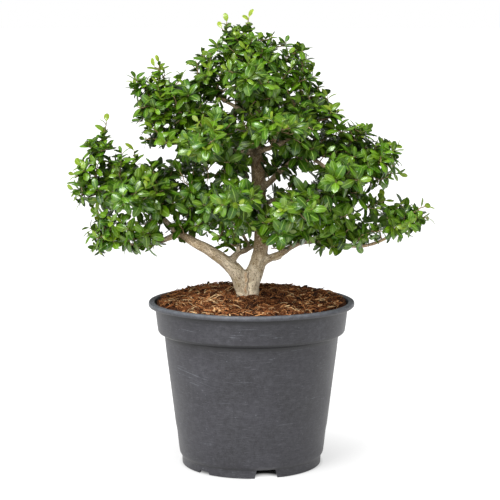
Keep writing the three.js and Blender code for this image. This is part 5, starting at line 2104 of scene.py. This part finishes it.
@dataclass(frozen=True)
class Studio:
    """White floor, soft lights and the camera."""

    lens: float = 122.4
    sensor: float = 36
    clip: tuple = (0.05, 200)
    eye: tuple = (-0.0016, -1.8344, 0.4961)
    pitch: float = 8.086
    floor_half: float = 40
    greys: tuple = ((0.3, (0.19, 0.19, 0.19, 1)), (0.7, (0.21, 0.21, 0.21, 1)))
    # windows of the floor's glow, painted light, by the distance from its middle in metres; it
    # fades out under the pot's foot, which leaves a painted contact shadow round it
    glow: tuple = (0.066, 0.08, 0, 0.72)
    far_glow: tuple = (0.08, 0.17, 0, 0.26)
    # middle and reach of the light that falls in through the front notch, and its window
    notch_light: tuple = ((15.2, -71.4, 0), 20)
    notch_glow: tuple = (0.05, 0.6, 0, 0.72)
    # light of the room on the plant, while the camera sees full white
    air: float = 0.27
    # name, strength, angle in degrees and direction
    lamps: tuple = (("key_light", 3.6, 24, (0.3, 0.5, -1.0)),
                    ("front_light", 1.75, 50, (0.45, 1.0, -0.3)),
                    ("fill_light", 0.25, 60, (-0.6, 0.8, -0.5)))

    def floor(self) -> None:
        """Lays the white floor, which glows with painted light."""
        half = self.floor_half / MM
        corners = np.array([(-half, -half, 0), (half, -half, 0), (half, half, 0),
                            (-half, half, 0)], float)
        floor = new_object("studio_floor", Skin(corners, [np.array([[0, 1, 2, 3]])]))
        mix = Recipe("floor_white", 0.9, 0.0)
        mix.colour = mix.ramp(mix.mottle(900, 1), self.greys)
        mix.shader.inputs["Emission Color"].default_value = (1, 1, 1, 1)
        length = mix.node("ShaderNodeVectorMath", {0: mix.place}, operation="LENGTH")
        reach = length.outputs["Value"]
        # painted light on the floor, left out under the pot for a painted contact shadow
        glow = mix.sum_of("ADD", mix.window(reach, *self.glow),
                          mix.window(reach, *self.far_glow))
        inside = mix.window(mix.near(*self.notch_light), *self.notch_glow)
        mix.tree.links.new(mix.sum_of("ADD", glow, inside),
                           mix.shader.inputs["Emission Strength"])
        floor.data.materials.append(mix.finished())

    def lights(self) -> None:
        """Hangs the soft lights and lights the room."""
        world = bpy.data.worlds.new("studio_room")
        bpy.context.scene.world = world
        world.use_nodes = True
        tree = world.node_tree
        air = tree.nodes["Background"]
        air.inputs["Color"].default_value = (1, 1, 1, 1)
        sight = tree.nodes.new("ShaderNodeLightPath")
        strength = tree.nodes.new("ShaderNodeMapRange")
        strength.inputs["To Min"].default_value = self.air
        strength.inputs["To Max"].default_value = 1.0
        tree.links.new(sight.outputs["Is Camera Ray"], strength.inputs["Value"])
        tree.links.new(strength.outputs[0], air.inputs["Strength"])
        for name, energy, angle, aim in self.lamps:
            lamp = bpy.data.lights.new(name, "SUN")
            lamp.energy = energy
            lamp.angle = math.radians(angle)
            holder = bpy.data.objects.new(name, lamp)
            holder.rotation_mode = "QUATERNION"
            holder.rotation_quaternion = Vector(aim).to_track_quat("-Z", "Y")
            bpy.context.scene.collection.objects.link(holder)

    def camera(self) -> None:
        """Places the camera at the photograph's angle."""
        lens = bpy.data.cameras.new("photo_camera")
        lens.lens = self.lens
        lens.sensor_width = self.sensor
        lens.clip_start, lens.clip_end = self.clip
        holder = bpy.data.objects.new("photo_camera", lens)
        holder.location = self.eye
        holder.rotation_euler = (math.radians(90 - self.pitch), 0, 0)
        bpy.context.scene.collection.objects.link(holder)
        bpy.context.scene.camera = holder

    def build(self) -> None:
        """Sets up the studio."""
        self.floor()
        self.lights()
        self.camera()
        bpy.context.scene.view_settings.view_transform = "Standard"


def main() -> None:
    """Builds the sub-assemblies in order."""
    logging.basicConfig(level=logging.INFO, format="%(name)s: %(message)s")
    Studio().build()
    NurseryPot().build()
    SoilBed().build()
    bark = BarkFinish().build()
    wood = Wood()
    wood.build(bark)
    Crown().build(wood, bark)


if __name__ == "__main__":
    main()
